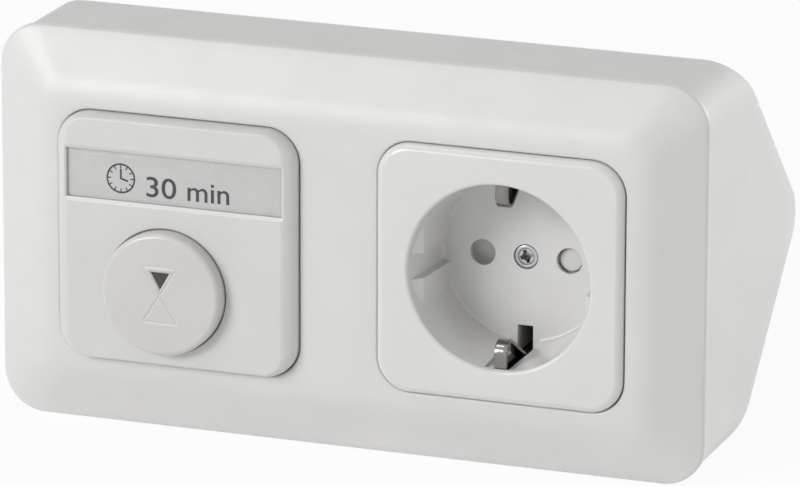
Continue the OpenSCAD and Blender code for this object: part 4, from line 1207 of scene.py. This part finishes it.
@dataclass
class TimerUnit:
    """Timer cover with its label window, label, round button and lens.

    The button has a stem (radius and foot), a skirt and a flange (radius, foot and top). The lens lies at the
    foot of a tapered window, which draws its outline in by lens_rim on the way down to lens_sink.
    """

    blank: CoverBlank = field(default_factory=CoverBlank)
    crisp_angle: float = 18.0
    window: tuple[float, float] = (48.2, 10.6)
    window_y: float = 13.8
    window_sink: float = 0.4
    window_mouth: float = 0.82
    window_t: float = 0.8
    window_r: float = 0.1
    bevel: tuple[float, float] = (0.8, 0.6)
    pocket_r: float = 0.2
    mouth_r: float = 0.5
    card_t: float = 0.4
    card_r: float = 0.5
    seat_gap: float = 0.1
    print_gap: float = 0.05
    button_at: tuple[float, float] = (-1.8, -9.9)
    button_r: float = 13.25
    button_gap: float = 0.2
    button_z: float = 12.5
    hole_edge: float = 0.4
    rim_r: float = 1.2
    cap_t: float = 1.6
    stem: tuple[float, float] = (3.0, -0.7)
    skirt_r: float = 11.65
    flange: tuple[float, float, float] = (14.45, 5.9, 7.1)
    lens: tuple[float, float] = (5.5, 5.0)
    lens_foot: float = 0.3
    lens_rim: float = 0.42
    lens_sink: float = 0.35
    lens_back: float = 1.2
    lens_draw: tuple[float, float] = (1.5, 2.0)
    sign: tuple[float, float] = (7.6, 12.0)
    sign_line: float = 0.3
    sign_depth: float = 0.16

    @property
    def centre(self) -> Array:
        """Centre of the timer's cover."""
        return np.array([Gang.TIMER.value, 0.0])

    @property
    def button_centre(self) -> Array:
        """Centre of the button."""
        return self.centre + self.button_at

    @property
    def card_z(self) -> float:
        """Height of the card's front."""
        return self.blank.face_z - self.window_sink - self.window_t

    def slab(self, name: str, size: Sequence[float], levels: Sequence[tuple[float, float, float]]) -> Object:
        """Stacks rounded rectangles round the window's centre.

        Args:
            name: The piece's name.
            size: Width and height.
            levels: For each loop, how far it lies inside the size, its corner radius and its height.

        Returns:
            The new object.
        """
        inset, radius, z = np.array(levels, float).T
        half = np.asarray(size, float) / 2 - inset[:, None]
        at = self.centre + (0.0, self.window_y)
        basis = LoopBasis.of(along_x=12, along_y=6, per_corner=6)
        return Skin(name).tube(basis.loops(half, radius, z, at)).build()

    def build_cover(self) -> Object:
        """Cuts the label pocket and the button's hole, each with a softened mouth, out of the blank.

        Returns:
            The new object.
        """
        face, wide, edge = self.blank.face_z, self.window_mouth, self.hole_edge
        pocket = [(0, self.pocket_r, self.card_z - self.card_t), (0, self.pocket_r, face - self.window_sink)]
        mouth = [(-wide, self.mouth_r, face + HAIR), (-wide, self.mouth_r, face + OVERCUT)]
        slot = self.slab("slot", self.window, pocket + mouth)
        radius = self.button_r + self.button_gap
        lip = arc((radius + edge, face - edge), edge, 180, 90, steps=6)
        profile = [(radius, face - self.blank.wall - OVERCUT), *lip, (radius + edge, face + OVERCUT)]
        hole = turned("hole", profile, steps=128, centre=self.button_centre)
        blank = self.blank.build("timer_cover_shell", Gang.TIMER)
        return carve(blank, cut=(slot, hole), sharp=self.crisp_angle)

    def build_window(self) -> Object:
        """Clear bevelled plate, a little above the card so that the print has room.

        Returns:
            The new object.
        """
        back, front = self.card_z + self.print_gap, self.blank.face_z - self.window_sink
        wide, deep = self.bevel
        levels = [(0, self.window_r, back), (0, self.window_r, front - deep), (wide, self.window_r, front)]
        return self.slab("label_window_plate", np.array(self.window) - 2 * self.seat_gap, levels)

    def build_card(self) -> Object:
        """Card with slightly rounded corners."""
        levels = [(0, self.card_r, self.card_z - self.card_t), (0, self.card_r, self.card_z)]
        return self.slab("label_card_sheet", np.array(self.window) - 2 * self.seat_gap, levels)

    def sign_patch(self) -> tuple[Array, Array]:
        """Flat grid with the hourglass sunk into it as soft grooves.

        A groove's depth falls off as (1 - (d / w)^2)^2 with the distance d from the hourglass's nearest line,
        where w is half the groove's width. The grid reaches 2 w past the sign, in cells of a third of w.

        Returns:
            The grid's points and the plan of its outline, anticlockwise, both from the button's centre.
        """
        wide, tall = np.array(self.sign) / 2
        margin, cell = 2 * self.sign_line, self.sign_line / 3
        x, y = (np.linspace(-r, r, int(2 * r / cell) + 1) for r in (wide + margin, tall + margin))
        plan = np.stack(np.meshgrid(x, y), axis=-1)
        corners = np.array([(-wide, tall), (wide, tall), (-wide, -tall), (wide, -tall)])
        pairs = ((0, 1), (2, 3), (0, 3), (1, 2))
        near = np.min([segment_distance(plan, corners[a], corners[b]) for a, b in pairs], axis=0)
        sunk = self.sign_depth * np.maximum(1 - (near / self.sign_line) ** 2, 0) ** 2
        outline = np.concatenate((plan[0, :-1], plan[:-1, -1], plan[-1, :0:-1], plan[:0:-1, 0]))
        return lift(plan, self.button_z - sunk), outline

    def build_button(self) -> Object:
        """Turns the button with rim, flange and stem round the sign's grid, and cuts the lens's window.

        Returns:
            The new object.
        """
        top, ceiling = self.button_z, self.button_z - self.cap_t
        patch, outline = self.sign_patch()
        centre = self.button_centre
        stem_r, stem_z = self.stem
        flange_r, low, high = self.flange
        stem = [(stem_r, stem_z), (stem_r, ceiling), (self.skirt_r, ceiling), (self.skirt_r, low)]
        flange = [(flange_r, low), (flange_r, high), (self.button_r, high)]
        rim = arc((self.button_r - self.rim_r, top - self.rim_r), self.rim_r, 0, 90, steps=10)
        rows = spin([*stem, *flange, *rim], outline, centre)
        skin = Skin("timer_button_cap").grid(rows).cap(rows[0])
        skin.grid(np.stack((rows[-1], lift(outline + centre, top)))).grid(patch + (*centre, 0.0), False)
        sunk = [(self.lens_rim, top - self.lens_back), (self.lens_rim, top - self.lens_sink)]
        seat = self.triangle("seat", [*sunk, (0.0, top), (0.0, top + OVERCUT)])
        return carve(skin.build(), cut=(seat,))

    def triangle(self, name: str, levels: Sequence[tuple[float, float]]) -> Object:
        """Stack of triangles that point down, over the lens's outline.

        Args:
            name: The piece's name.
            levels: How far each triangle lies inside the outline, and its height.

        Returns:
            The new object.
        """
        wide, tall = self.lens
        sides, foot = self.lens_draw
        inset, z = np.array(levels, float).T
        half = wide / 2 - sides * inset
        low, high = self.lens_foot + foot * inset, self.lens_foot + tall - inset
        x, y = np.stack((-half, 0 * half, half), axis=1), np.stack((high, low, high), axis=1)
        plan = np.stack((x, y), axis=-1) + self.button_centre
        return Skin(name).tube(lift(plan, z[:, None])).build()

    def build_lens(self) -> Object:
        """Dark triangular lens at the foot of its tapered window.

        Returns:
            The new object.
        """
        inset = self.lens_rim + HAIR
        levels = [(inset, self.button_z - self.lens_back), (inset, self.button_z - self.lens_sink)]
        return self.triangle("button_lens_tip", levels)

    def place(self, shop: Workshop) -> None:
        """Builds and dresses the timer's pieces.

        Args:
            shop: Dresses the pieces and settles them on their bodies.
        """
        shop.settle(self.build_cover(), COVER_PLASTIC, Body.CASE, ("timer_cover",))
        shop.settle(self.build_window(), CLEAR_PLASTIC, Body.CASE, ("label_window",))
        shop.settle(self.build_card(), LABEL_CARD, Body.CASE, ("label_card",))
        shop.settle(self.build_button(), BUTTON_PLASTIC, Body.BUTTON, ("timer_button",))
        shop.settle(self.build_lens(), SMOKED_PLASTIC, Body.BUTTON, ("button_lens",))
        for piece in LabelPrint(self.centre, self.card_z).build():
            shop.settle(piece, PRINT_INK, Body.CASE)


@dataclass
class CentreScrew:
    """Screw of the socket: a raised ring round a sunk face with a cross recess, on a plain shank.

    Attributes:
        shank: Radius, and depth of its end below the top.
        head: Radius and height.
        head_gap: Gap round the head in its seat.
        bore: Radius of the hole for the shank.
        ring_r: Inner radius of the ring.
        ring_round: Rounding of the ring's outer and inner edge.
        face_r: Outer and inner radius of the sunk face.
        face_sink: Depth of the sunk face.
        pit: Radius at the mouth, radius at the foot and depth of the recess's middle.
        arm: Half length and half width at the foot, and depth, of the recess's arms.
        flare: How much longer and wider the arms are at their mouth.
        mouth: Depth of the arms' mouth.
        turn: Direction of the first arm in radians.
    """

    shank: tuple[float, float] = (1.5, 12.9)
    head: tuple[float, float] = (2.6, 0.9)
    head_gap: float = 0.1
    bore: float = 1.8
    ring_r: float = 1.85
    ring_round: tuple[float, float] = (0.4, 0.15)
    face_r: tuple[float, float] = (1.6, 1.2)
    face_sink: float = 0.4
    pit: tuple[float, float, float] = (0.95, 0.6, 2.6)
    arm: tuple[float, float, float] = (0.75, 0.28, 2.7)
    flare: tuple[float, float] = (2.0, 1.5)
    mouth: float = 0.1
    turn: float = 0.35

    def seat(self, top: float, below: float, above: float, centre: Array) -> Object:
        """Cutter for the screw's hole and the seat of its head, between two heights.

        Args:
            top: Height of the floor round the screw.
            below: Height of the cutter's foot.
            above: Height of its top.
            centre: Place of its axis.

        Returns:
            The new object.
        """
        step, wide = top - self.head[1], self.head[0] + self.head_gap
        profile = [(self.bore, below), (self.bore, step), (wide, step), (wide, above)]
        return turned("seat", profile, steps=64, centre=centre)

    def build(self, top: float, centre: Array) -> Object:
        """Turns the screw, with its ring level with the given height, and cuts the cross recess.

        Args:
            top: Height of the floor round the screw.
            centre: Place of its axis.

        Returns:
            The new object.
        """
        shank_r, shank_end = self.shank
        head_r, head_h = self.head
        crest, sunk, under = top - HAIR, top - self.face_sink, top - head_h
        outer, inner = self.ring_round
        ring = [(head_r, under, 0.0), (head_r, crest, outer), (self.ring_r, crest, inner)]
        head = fillet([*ring, *((radius, sunk, 0.0) for radius in self.face_r)])
        mouth_r, foot_r, depth = self.pit
        shank = [(shank_r, top - shank_end), (shank_r, under)]
        profile = [*shank, *head, (mouth_r, sunk), (foot_r, top - depth)]
        screw = turned("centre_screw_head", profile, steps=64, centre=centre)
        reach, wide, depth = self.arm
        foot = np.array([(-reach, -wide), (reach, -wide), (reach, wide), (-reach, wide)])
        levels = ((foot, top - depth), (foot * self.flare, top - self.mouth))
        arms = []
        for turn in (self.turn, self.turn + math.pi / 2):
            along = heading(turn)
            axes = np.array([along, (-along[1], along[0])])
            rows = np.stack([lift(plan @ axes + centre, z) for plan, z in levels])
            arms.append(Skin("arm").tube(rows).build())
        return carve(screw, cut=arms)


@dataclass
class SocketUnit:
    """Socket cover with its plug well, the earth strap with its two clips, the shutter and the centre screw.

    The shutter is given by its reach, bore and hub radius, and its dish by radius and depth. The strap
    changes from the clips' width to its own between the two steps below the well's floor.
    """

    blank: CoverBlank = field(
        default_factory=lambda: CoverBlank(
            wall=1.8, edge_w=1.3, end_w=1.3, edge_h=1.5, crease_r=0.6, skirt_z=1.0, face_z=7.5
        )
    )
    screw: CentreScrew = field(default_factory=CentreScrew)
    well_r: float = 19.8
    floor_r: float = 18.35
    floor_z: float = -10.0
    floor_t: float = 1.8
    floor_lip: float = 0.8
    floor_round: float = 0.7
    floor_turn: float = 88.0
    rim_r: float = 0.8
    cup_r: float = 21.6
    pad_x: float = 16.6
    pad_lean: float = 1.0
    pad_drop: float = 2.0
    pad_ramp: float = 2.0
    pad_round: float = 0.5
    groove: float = 5.5
    pin_x: float = 9.5
    pin_r: float = 2.75
    pin_edge: float = 0.12
    channel: tuple[float, float] = (6.5, 19.9)
    slot_y: float = 14.8
    slot_w: float = 3.4
    slot_z: float = 6.0
    clip_w: float = 2.8
    strap_w: float = 7.0
    strap_t: float = 0.8
    strap_round: float = 0.2
    strap_y: float = 21.5
    strap_knee: float = 1.0
    strap_steps: tuple[float, float] = (-4.0, -5.0)
    strap_back: float = -36.3
    heel_r: float = 1.0
    nose: tuple[float, float] = (17.0, 2.9)
    nose_r: float = 2.4
    tip_y: float = 20.7
    shutter: tuple[float, float, float] = (12.8, 3.55, 4.8)
    shutter_angle: float = 19.0
    shutter_t: float = 1.8
    shutter_gap: float = 0.1
    stud_r: float = 2.5
    stud_h: float = 0.65
    stud_edge: float = 0.25
    stud_gap: float = 0.4
    dish: tuple[float, float] = (3.0, 1.35)

    @property
    def centre(self) -> Array:
        """Centre of the socket's cover."""
        return np.array([Gang.SOCKET.value, 0.0])

    def bar(self, name: str, width: float, y: Sequence[float], z: Sequence[float]) -> Object:
        """Upright bar of a width across the socket's middle, between two places in y and two heights.

        Args:
            name: The piece's name.
            width: Width across x.
            y: The two places in y.
            z: The two heights.

        Returns:
            The new object.
        """
        half = width / 2
        plan = self.centre + np.array([(-half, y[0]), (half, y[0]), (half, y[1]), (-half, y[1])])
        return Skin(name).tube(np.stack([lift(plan, height) for height in z])).build()

    def well(self) -> Object:
        """The well's space: a cone with a filleted floor and a rounded rim, less the four side pads.

        Returns:
            The new object.
        """
        face, rim_r, bend_r = self.blank.face_z, self.rim_r, self.floor_round
        rim = arc((self.well_r + rim_r, face - rim_r), rim_r, 180, 90, steps=8)
        base_at = (self.floor_r - bend_r, self.floor_z + bend_r)
        base = arc(base_at, bend_r, 270, 270 + self.floor_turn, steps=6)
        profile = [*base, *rim, (self.well_r + rim_r, face + OVERCUT)]
        space = turned("well", profile, steps=160, centre=self.centre)
        front, low_z, far = face - self.pad_drop, self.floor_z - OVERCUT, self.cup_r + OVERCUT
        bend_x, bend_z = self.pad_x + self.pad_lean, front - self.pad_ramp
        foot = self.pad_x - OVERCUT * self.pad_lean / (bend_z - self.floor_z)
        rest = [(bend_x + self.pad_ramp, front, 0.0), (far, front, 0.0), (far, low_z, 0.0)]
        x, z = fillet([(foot, low_z, 0.0), (bend_x, bend_z, self.pad_round), *rest]).T
        pads = []
        for side in (-1, 1):
            for half in (-1, 1):
                reach = (half * self.groove / 2, half * self.well_r)
                ends = [np.stack((side * x, np.full_like(x, y), z), axis=1) for y in reach]
                pads.append(Skin("pad").tube(np.stack(ends) + (*self.centre, 0.0)).build())
        return carve(space, cut=pads)

    def build_cover(self) -> Object:
        """Joins the cup to the blank, and cuts the well, pin holes, clip channels, track and screw seat.

        Returns:
            The new object.
        """
        floor, back = self.floor_z, self.floor_z - self.floor_t
        below, above = back - OVERCUT, floor + OVERCUT
        cup_top = self.blank.face_z - self.blank.wall / 2
        cup = turned("cup", [(self.cup_r, back), (self.cup_r, cup_top)], steps=160, centre=self.centre)
        cutters = [self.well()]
        wide = self.pin_r + self.pin_edge
        hole = [(self.pin_r, below), (self.pin_r, floor - self.pin_edge), (wide, floor + HAIR), (wide, above)]
        for side in (-1, 1):
            cutters.append(turned("pin", hole, steps=64, centre=self.centre + (side * self.pin_x, 0)))
            across, reach = self.channel
            cutters.append(self.bar("channel", across, (0.0, side * reach), (floor, self.slot_z)))
            run = (side * self.slot_y, side * (self.cup_r + OVERCUT))
            cutters.append(self.bar("slot", self.slot_w, run, (below, self.slot_z)))
        near, far = (self.pin_x + side * (self.stud_r + self.stud_gap) for side in (-1, 1))
        lip = floor - self.floor_lip
        track = [(near, below), (far, below), (far, lip), (near, lip), (near, below)]
        cutters.append(Skin("track").grid(lathe(track, steps=128, centre=self.centre)).build())
        cutters.append(self.screw.seat(floor, below, above, self.centre))
        return carve(self.blank.build("socket_cover_shell", Gang.SOCKET), (cup,), cutters)

    def build_shutter(self) -> Object:
        """Bow-tie plate on the boss, with a stud behind the right pin hole and a sunk dish behind the left.

        The stud runs in the track in the cover's back when the plate turns.

        Returns:
            The new object.
        """
        front = self.floor_z - self.floor_t - self.shutter_gap
        rear, top = front - self.shutter_t, front + self.stud_h
        reach, bore, hub = self.shutter
        right = arc((0, 0), reach, -self.shutter_angle, self.shutter_angle, steps=24)
        upper = arc((0, 0), hub, self.shutter_angle, 180 - self.shutter_angle, steps=24)
        plan = np.concatenate((right, upper, -right, -upper)) + self.centre
        plate = Skin("socket_shutter_plate").tube(np.stack((lift(plan, rear), lift(plan, front)))).build()
        pin = np.array([self.pin_x, 0.0])
        shoulder = (self.stud_r, top, self.stud_edge)
        edge = fillet([(self.stud_r, (front + rear) / 2, 0.0), shoulder, (self.stud_r / 2, top, 0.0)])
        stud = turned("stud", edge, steps=48, centre=self.centre + pin)
        dish_r, depth = self.dish
        sunk = [(dish_r, front - depth), (dish_r, front + OVERCUT)]
        dish = turned("dish", sunk, steps=48, centre=self.centre - pin)
        hole = [(bore, rear - OVERCUT), (bore, front + OVERCUT)]
        rod = turned("bore", hole, steps=64, centre=self.centre)
        return carve(plate, (stud,), (dish, rod))

    def strap_path(self) -> tuple[Array, Array]:
        """Centre line of the strap in y and z from one clip's tip to the other's, with its width.

        Returns:
            The points and the width at each.
        """
        rise = self.nose[1] - self.floor_z - self.strap_knee
        lean = math.degrees(math.atan((self.strap_y - self.nose[0] + self.nose_r) / rise))
        bend = arc(self.nose, self.nose_r, 90, 180 + lean, steps=18)
        tip = (self.tip_y, self.nose[1] + self.nose_r)
        leg = [(self.strap_y, self.floor_z + z) for z in (self.strap_knee, *self.strap_steps)]
        heel_at = (self.strap_y - self.heel_r, self.strap_back + self.heel_r)
        heel = arc(heel_at, self.heel_r, 0, -90, steps=5)
        half = np.array([tip, *bend, *leg, *heel, (0.0, self.strap_back)])
        path = np.concatenate((half, half[-2::-1] * (-1, 1)))
        middle = self.floor_z + sum(self.strap_steps) / 2
        wide = np.where(half[:, 1] > middle, self.clip_w, self.strap_w)
        return path, np.concatenate((wide, wide[-2::-1]))

    def build_strap(self) -> Object:
        """Carries the strap's flat section, a rounded rectangle, along its path.

        Returns:
            The new object.
        """
        path, wide = self.strap_path()
        along = np.gradient(path, axis=0)
        along /= np.linalg.norm(along, axis=1, keepdims=True)
        normal = np.stack((-along[:, 1], along[:, 0]), axis=1)
        half = np.stack((wide, np.full_like(wide, self.strap_t)), axis=1) / 2
        section = LoopBasis.of(along_x=3, along_y=1, per_corner=3)
        loops = section.loops(half, self.strap_round, 0.0)
        x = loops[..., 0] + self.centre[0]
        yz = path[:, None, :] + loops[..., 1, None] * normal[:, None, :]
        return Skin("earth_strap_spring").tube(np.concatenate((x[..., None], yz), axis=-1)).build()

    def place(self, shop: Workshop) -> None:
        """Builds and dresses the socket's pieces.

        Args:
            shop: Dresses the pieces and settles them on their bodies.
        """
        shop.settle(self.build_cover(), SOCKET_PLASTIC, Body.CASE, ("socket_cover",))
        # The strap's darkened nickel stands for the shade deep in the well: painted shade.
        shop.settle(self.build_strap(), SHADED_NICKEL_STRAP, Body.CASE, ("earth_strap",))
        screw = self.screw.build(self.floor_z, self.centre)
        shop.settle(screw, ZINC_STEEL, Body.CASE, ("socket_centre_screw",))
        # The shutter takes the timer cover's greyer finish, so that the discs in the pin holes read a shade
        # darker than the socket: painted shade.
        shop.settle(self.build_shutter(), COVER_PLASTIC, Body.SHUTTER, ("socket_shutter",))


@dataclass
class Springs:
    """The button's return coil, and the shutter's coil that is bent round the shutter's boss.

    The button's coil is given by its radius, foot and top, and its ends lie flat for a share of a turn.
    """

    button_coil: tuple[float, float, float] = (5.6, 2.75, 10.55)
    button_wire: float = 0.3
    button_turns: int = 5
    flat_turn: float = 0.4
    travel: float = 1.3
    arc_r: float = 8.9
    arc_ends: tuple[float, float] = (22.0, 92.9)
    arc_z: float = -13.0
    arc_coil: float = 0.9
    arc_wire: float = 0.2
    arc_turns: int = 6
    arc_spare: float = 0.12

    @staticmethod
    def wire(name: str, line: Array, out: Array, along: Array, radius: float) -> Object:
        """Carries a round section along a coil.

        The section is cos t along the axis plus sin t away from it, times the wire's radius.

        Args:
            name: The piece's name.
            line: The coil's centre line.
            out: Unit step away from the coil's axis at each point.
            along: Unit step along the axis at each point.
            radius: Radius of the wire.

        Returns:
            The new object.
        """
        turn = np.linspace(0, 2 * math.pi, 8, endpoint=False)[:, None]
        section = np.cos(turn) * along[:, None, :] + np.sin(turn) * out[:, None, :]
        return Skin(name).tube(line[:, None, :] + radius * section).build(sharp=60.0)

    def build_button_coil(self, centre: Array) -> Object:
        """Upright coil whose end turns lie flat.

        Its height rises evenly with the turn between the flat ends.

        Args:
            centre: Place of the coil's axis.

        Returns:
            The new object.
        """
        radius, low, high = self.button_coil
        turns = np.linspace(0, self.button_turns, 24 * self.button_turns + 1)
        rise = np.clip((turns - self.flat_turn) / (self.button_turns - 2 * self.flat_turn), 0, 1)
        out = lift(heading(2 * math.pi * turns), 0.0)
        along = np.broadcast_to(np.array([0.0, 0.0, 1.0]), out.shape)
        line = lift(centre + radius * out[:, :2], low + (high - low) * rise)
        return self.wire("button_return_coil", line, out, along, self.button_wire)

    def on_arc(self, degrees: Array | float) -> Array:
        """Points of the shutter coil's bent axis, with angles in degrees."""
        plan = self.arc_r * heading(np.radians(degrees)) + (Gang.SOCKET.value, 0.0)
        return lift(plan, self.arc_z)

    def build_shutter_coil(self) -> Object:
        """Coil whose axis follows an arc from the shutter's arm to the insert's stop.

        A point is the axis plus a step that turns between the arc's radius and z.

        Returns:
            The new object.
        """
        share = np.linspace(0, 1, 20 * self.arc_turns + 1)
        angle = 2 * math.pi * self.arc_turns * share[:, None]
        start, end = self.arc_ends
        degrees = start + (end - start) * share
        radial, along = (lift(heading(np.radians(degrees + turn)), 0.0) for turn in (0, 90))
        out = radial * np.cos(angle) + np.array([0.0, 0.0, 1.0]) * np.sin(angle)
        line = self.on_arc(degrees) + self.arc_coil * out
        return self.wire("shutter_return_coil", line, out, along, self.arc_wire)

    def place(self, shop: Workshop, button_centre: Array) -> None:
        """Builds the coils: one round the button's axis on the case, and one along the shutter's arc on no
        body.

        Args:
            shop: Dresses the pieces and settles them on their bodies.
            button_centre: Place of the button's axis.
        """
        _, low, high = self.button_coil
        coil = self.build_button_coil(button_centre)
        shop.settle(coil, SPRING_STEEL, Body.CASE, ("button_return_spring",))
        foot = face_to_world(np.array([*button_centre, low - self.button_wire]))
        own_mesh(coil)
        bent = shop.settle(self.build_shutter_coil(), SPRING_STEEL, None, ("shutter_spring",))
        near, far = face_to_world(self.on_arc(np.array(self.arc_ends)))
        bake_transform(bent)


def towards(azimuth: float, elevation: float) -> Vector:
    """Unit step towards a place in degrees, with azimuth 0 in front of the object and 90 to its right."""
    a, e = math.radians(azimuth), math.radians(elevation)
    return Vector((math.sin(a) * math.cos(e), -math.cos(a) * math.cos(e), math.sin(e)))


@dataclass(frozen=True)
class Lamp:
    """Soft square white lamp that looks at the object, placed by azimuth and elevation in degrees."""

    name: str
    azimuth: float
    elevation: float
    distance: float
    size: float
    power: float

    def place(self, target: Vector) -> None:
        """Puts the lamp in the scene, turned to the target.

        Args:
            target: The point that it looks at.
        """
        data = bpy.data.lights.new(self.name, "AREA")
        data.shape = "SQUARE"
        data.size = self.size
        data.energy = self.power
        obj = add_object(self.name, data)
        away = towards(self.azimuth, self.elevation)
        obj.location = target + away * self.distance
        obj.rotation_euler = (-away).to_track_quat("-Z", "Y").to_euler()
        # The clear window shows the card behind it, not the lamp.
        obj.visible_transmission = False


@dataclass
class Studio:
    """Camera, soft lamps, even sky and a plain pale floor.

    Attributes:
        azimuth: Direction of the camera in degrees.
        elevation: Its height in degrees.
        roll: Its tilt in degrees.
        distance: Its distance from the middle of the lip plane in metres.
        lens: Focal length in millimetres.
        sensor: Width of the sensor in millimetres.
        clip: Nearest and farthest distance that it sees in metres.
        aim: How far it looks right and up of the middle, as shares of the distance.
        floor_z: Height of the floor in millimetres.
        floor_half: Half size of the floor in millimetres.
        floor_glow: Share of plain white in the floor where it is seen.
        sky: Strength of the sky's light.
        lamps: The lamps.
    """

    azimuth: float = 20.672
    elevation: float = 16.361
    roll: float = 0.062
    distance: float = 1.447
    lens: float = 313.97
    sensor: float = 36.0
    clip: tuple[float, float] = (0.05, 50.0)
    aim: tuple[float, float] = (0.00738, 0.001263)
    floor_z: float = -42.6
    floor_half: float = 2500.0
    floor_glow: float = 0.9
    sky: float = 0.40
    lamps: tuple[Lamp, ...] = (
        Lamp("key", -38, 20, 1.6, 0.65, 11.4),
        Lamp("side_back", 135, 15, 1.6, 0.7, 10.7),
        Lamp("right_strip", 76, 14, 1.6, 0.3, 2.2),
        Lamp("upper_strip", -23, 25, 1.6, 0.35, 2.0),
        Lamp("top_strip", -50, 60, 1.6, 0.3, 2.2),
    )

    @property
    def target(self) -> Vector:
        """Middle of the frame's lip plane in metres."""
        return Vector((0.0, -CORNER_DEPTH * MM, 0.0))

    def camera(self) -> None:
        """Makes the camera at the photograph's viewing angle."""
        back, right = towards(self.azimuth, self.elevation), towards(self.azimuth + 90, 0.0)
        up = back.cross(right)
        forward = (-back + right * self.aim[0] + up * self.aim[1]).normalized()
        side = forward.cross(up).normalized()
        turn = Matrix((side, side.cross(forward), -forward)).transposed()
        turn = turn @ Matrix.Rotation(math.radians(self.roll), 3, "Z")
        data = bpy.data.cameras.new("camera")
        data.lens = self.lens
        data.sensor_width = self.sensor
        data.clip_start, data.clip_end = self.clip
        obj = add_object("camera", data)
        obj.matrix_world = Matrix.Translation(self.target + back * self.distance) @ turn.to_4x4()
        bpy.context.scene.camera = obj

    @staticmethod
    def seen(tree: bpy.types.NodeTree) -> Any:
        """Output that is 1 for a ray that the camera sees, straight, mirrored or through glass, else 0.

        Args:
            tree: The node tree to add to.

        Returns:
            The output.
        """
        path = add_node(tree, "ShaderNodeLightPath").outputs
        bent = {0: path["Is Glossy Ray"], 1: path["Is Transmission Ray"]}
        other = add_node(tree, "ShaderNodeMath", bent, operation="MAXIMUM")
        either = {0: path["Is Camera Ray"], 1: other.outputs[0]}
        return add_node(tree, "ShaderNodeMath", either, operation="MAXIMUM").outputs[0]

    def world(self) -> None:
        """Even pale sky that is plain white where it is seen."""
        world = bpy.data.worlds.new("studio_sky")
        bpy.context.scene.world = world
        tree = empty_tree(world)
        lit = add_node(tree, "ShaderNodeBackground", {"Color": linear("F4F5F7"), "Strength": self.sky})
        white = add_node(tree, "ShaderNodeBackground", {"Color": linear("FFFFFF"), "Strength": 1.0})
        layers = {0: self.seen(tree), 1: lit.outputs[0], 2: white.outputs[0]}
        mix = add_node(tree, "ShaderNodeMixShader", layers)
        add_node(tree, "ShaderNodeOutputWorld", {"Surface": mix.outputs[0]})

    def floor(self) -> None:
        """Pale matt floor that glows white where it is seen and keeps a faint shadow."""
        steps = np.linspace(-self.floor_half, self.floor_half, 3)
        x, z = np.meshgrid(steps, steps)
        rows = np.stack((x, np.full_like(x, self.floor_z), z - CORNER_DEPTH), axis=-1)
        floor = Skin("studio_floor").grid(rows, False).build()
        material = bpy.data.materials.new("pale_paper_sweep")
        tree = empty_tree(material)
        matt = add_node(tree, "ShaderNodeBsdfDiffuse", {"Color": linear("FAFAFA")})
        glow = add_node(tree, "ShaderNodeEmission", {"Color": linear("FFFFFF"), "Strength": 1.0})
        factors = {0: self.seen(tree), 1: self.floor_glow}
        share = add_node(tree, "ShaderNodeMath", factors, operation="MULTIPLY")
        layers = {0: share.outputs[0], 1: matt.outputs[0], 2: glow.outputs[0]}
        mix = add_node(tree, "ShaderNodeMixShader", layers)
        add_node(tree, "ShaderNodeOutputMaterial", {"Surface": mix.outputs[0]})
        floor.data.materials.append(material)
        floor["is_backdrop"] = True

    def place(self) -> None:
        """Sets the stage."""
        bpy.context.scene.view_settings.view_transform = "Standard"
        self.world()
        self.floor()
        for lamp in self.lamps:
            lamp.place(self.target)


def main() -> None:
    """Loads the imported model, builds each sub-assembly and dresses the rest."""
    logging.basicConfig(level=logging.INFO, format="%(name)s: %(message)s")
    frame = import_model()
    cad_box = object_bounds()
    studio = Studio()
    studio.camera()
    shop = Workshop()
    shop.settle(FrontFrame().build(), WHITE_PLASTIC, Body.CASE, ("front_frame",))
    shop.settle(CornerBox().build(), BOX_PLASTIC, Body.CASE, ("corner_box",))
    timer = TimerUnit()
    timer.place(shop)
    SocketUnit().place(shop)
    Springs().place(shop, timer.button_centre)
    for finish, nodes in NODE_FINISHES.items():
        for node in nodes:
            shop.dress(frame["nodes"][node], finish)
    studio.place()
    boxes = {"cad": cad_box, "visual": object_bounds()}
    {name: [list(corner) for corner in box] for name, box in boxes.items()}


if __name__ == "__main__":
    main()
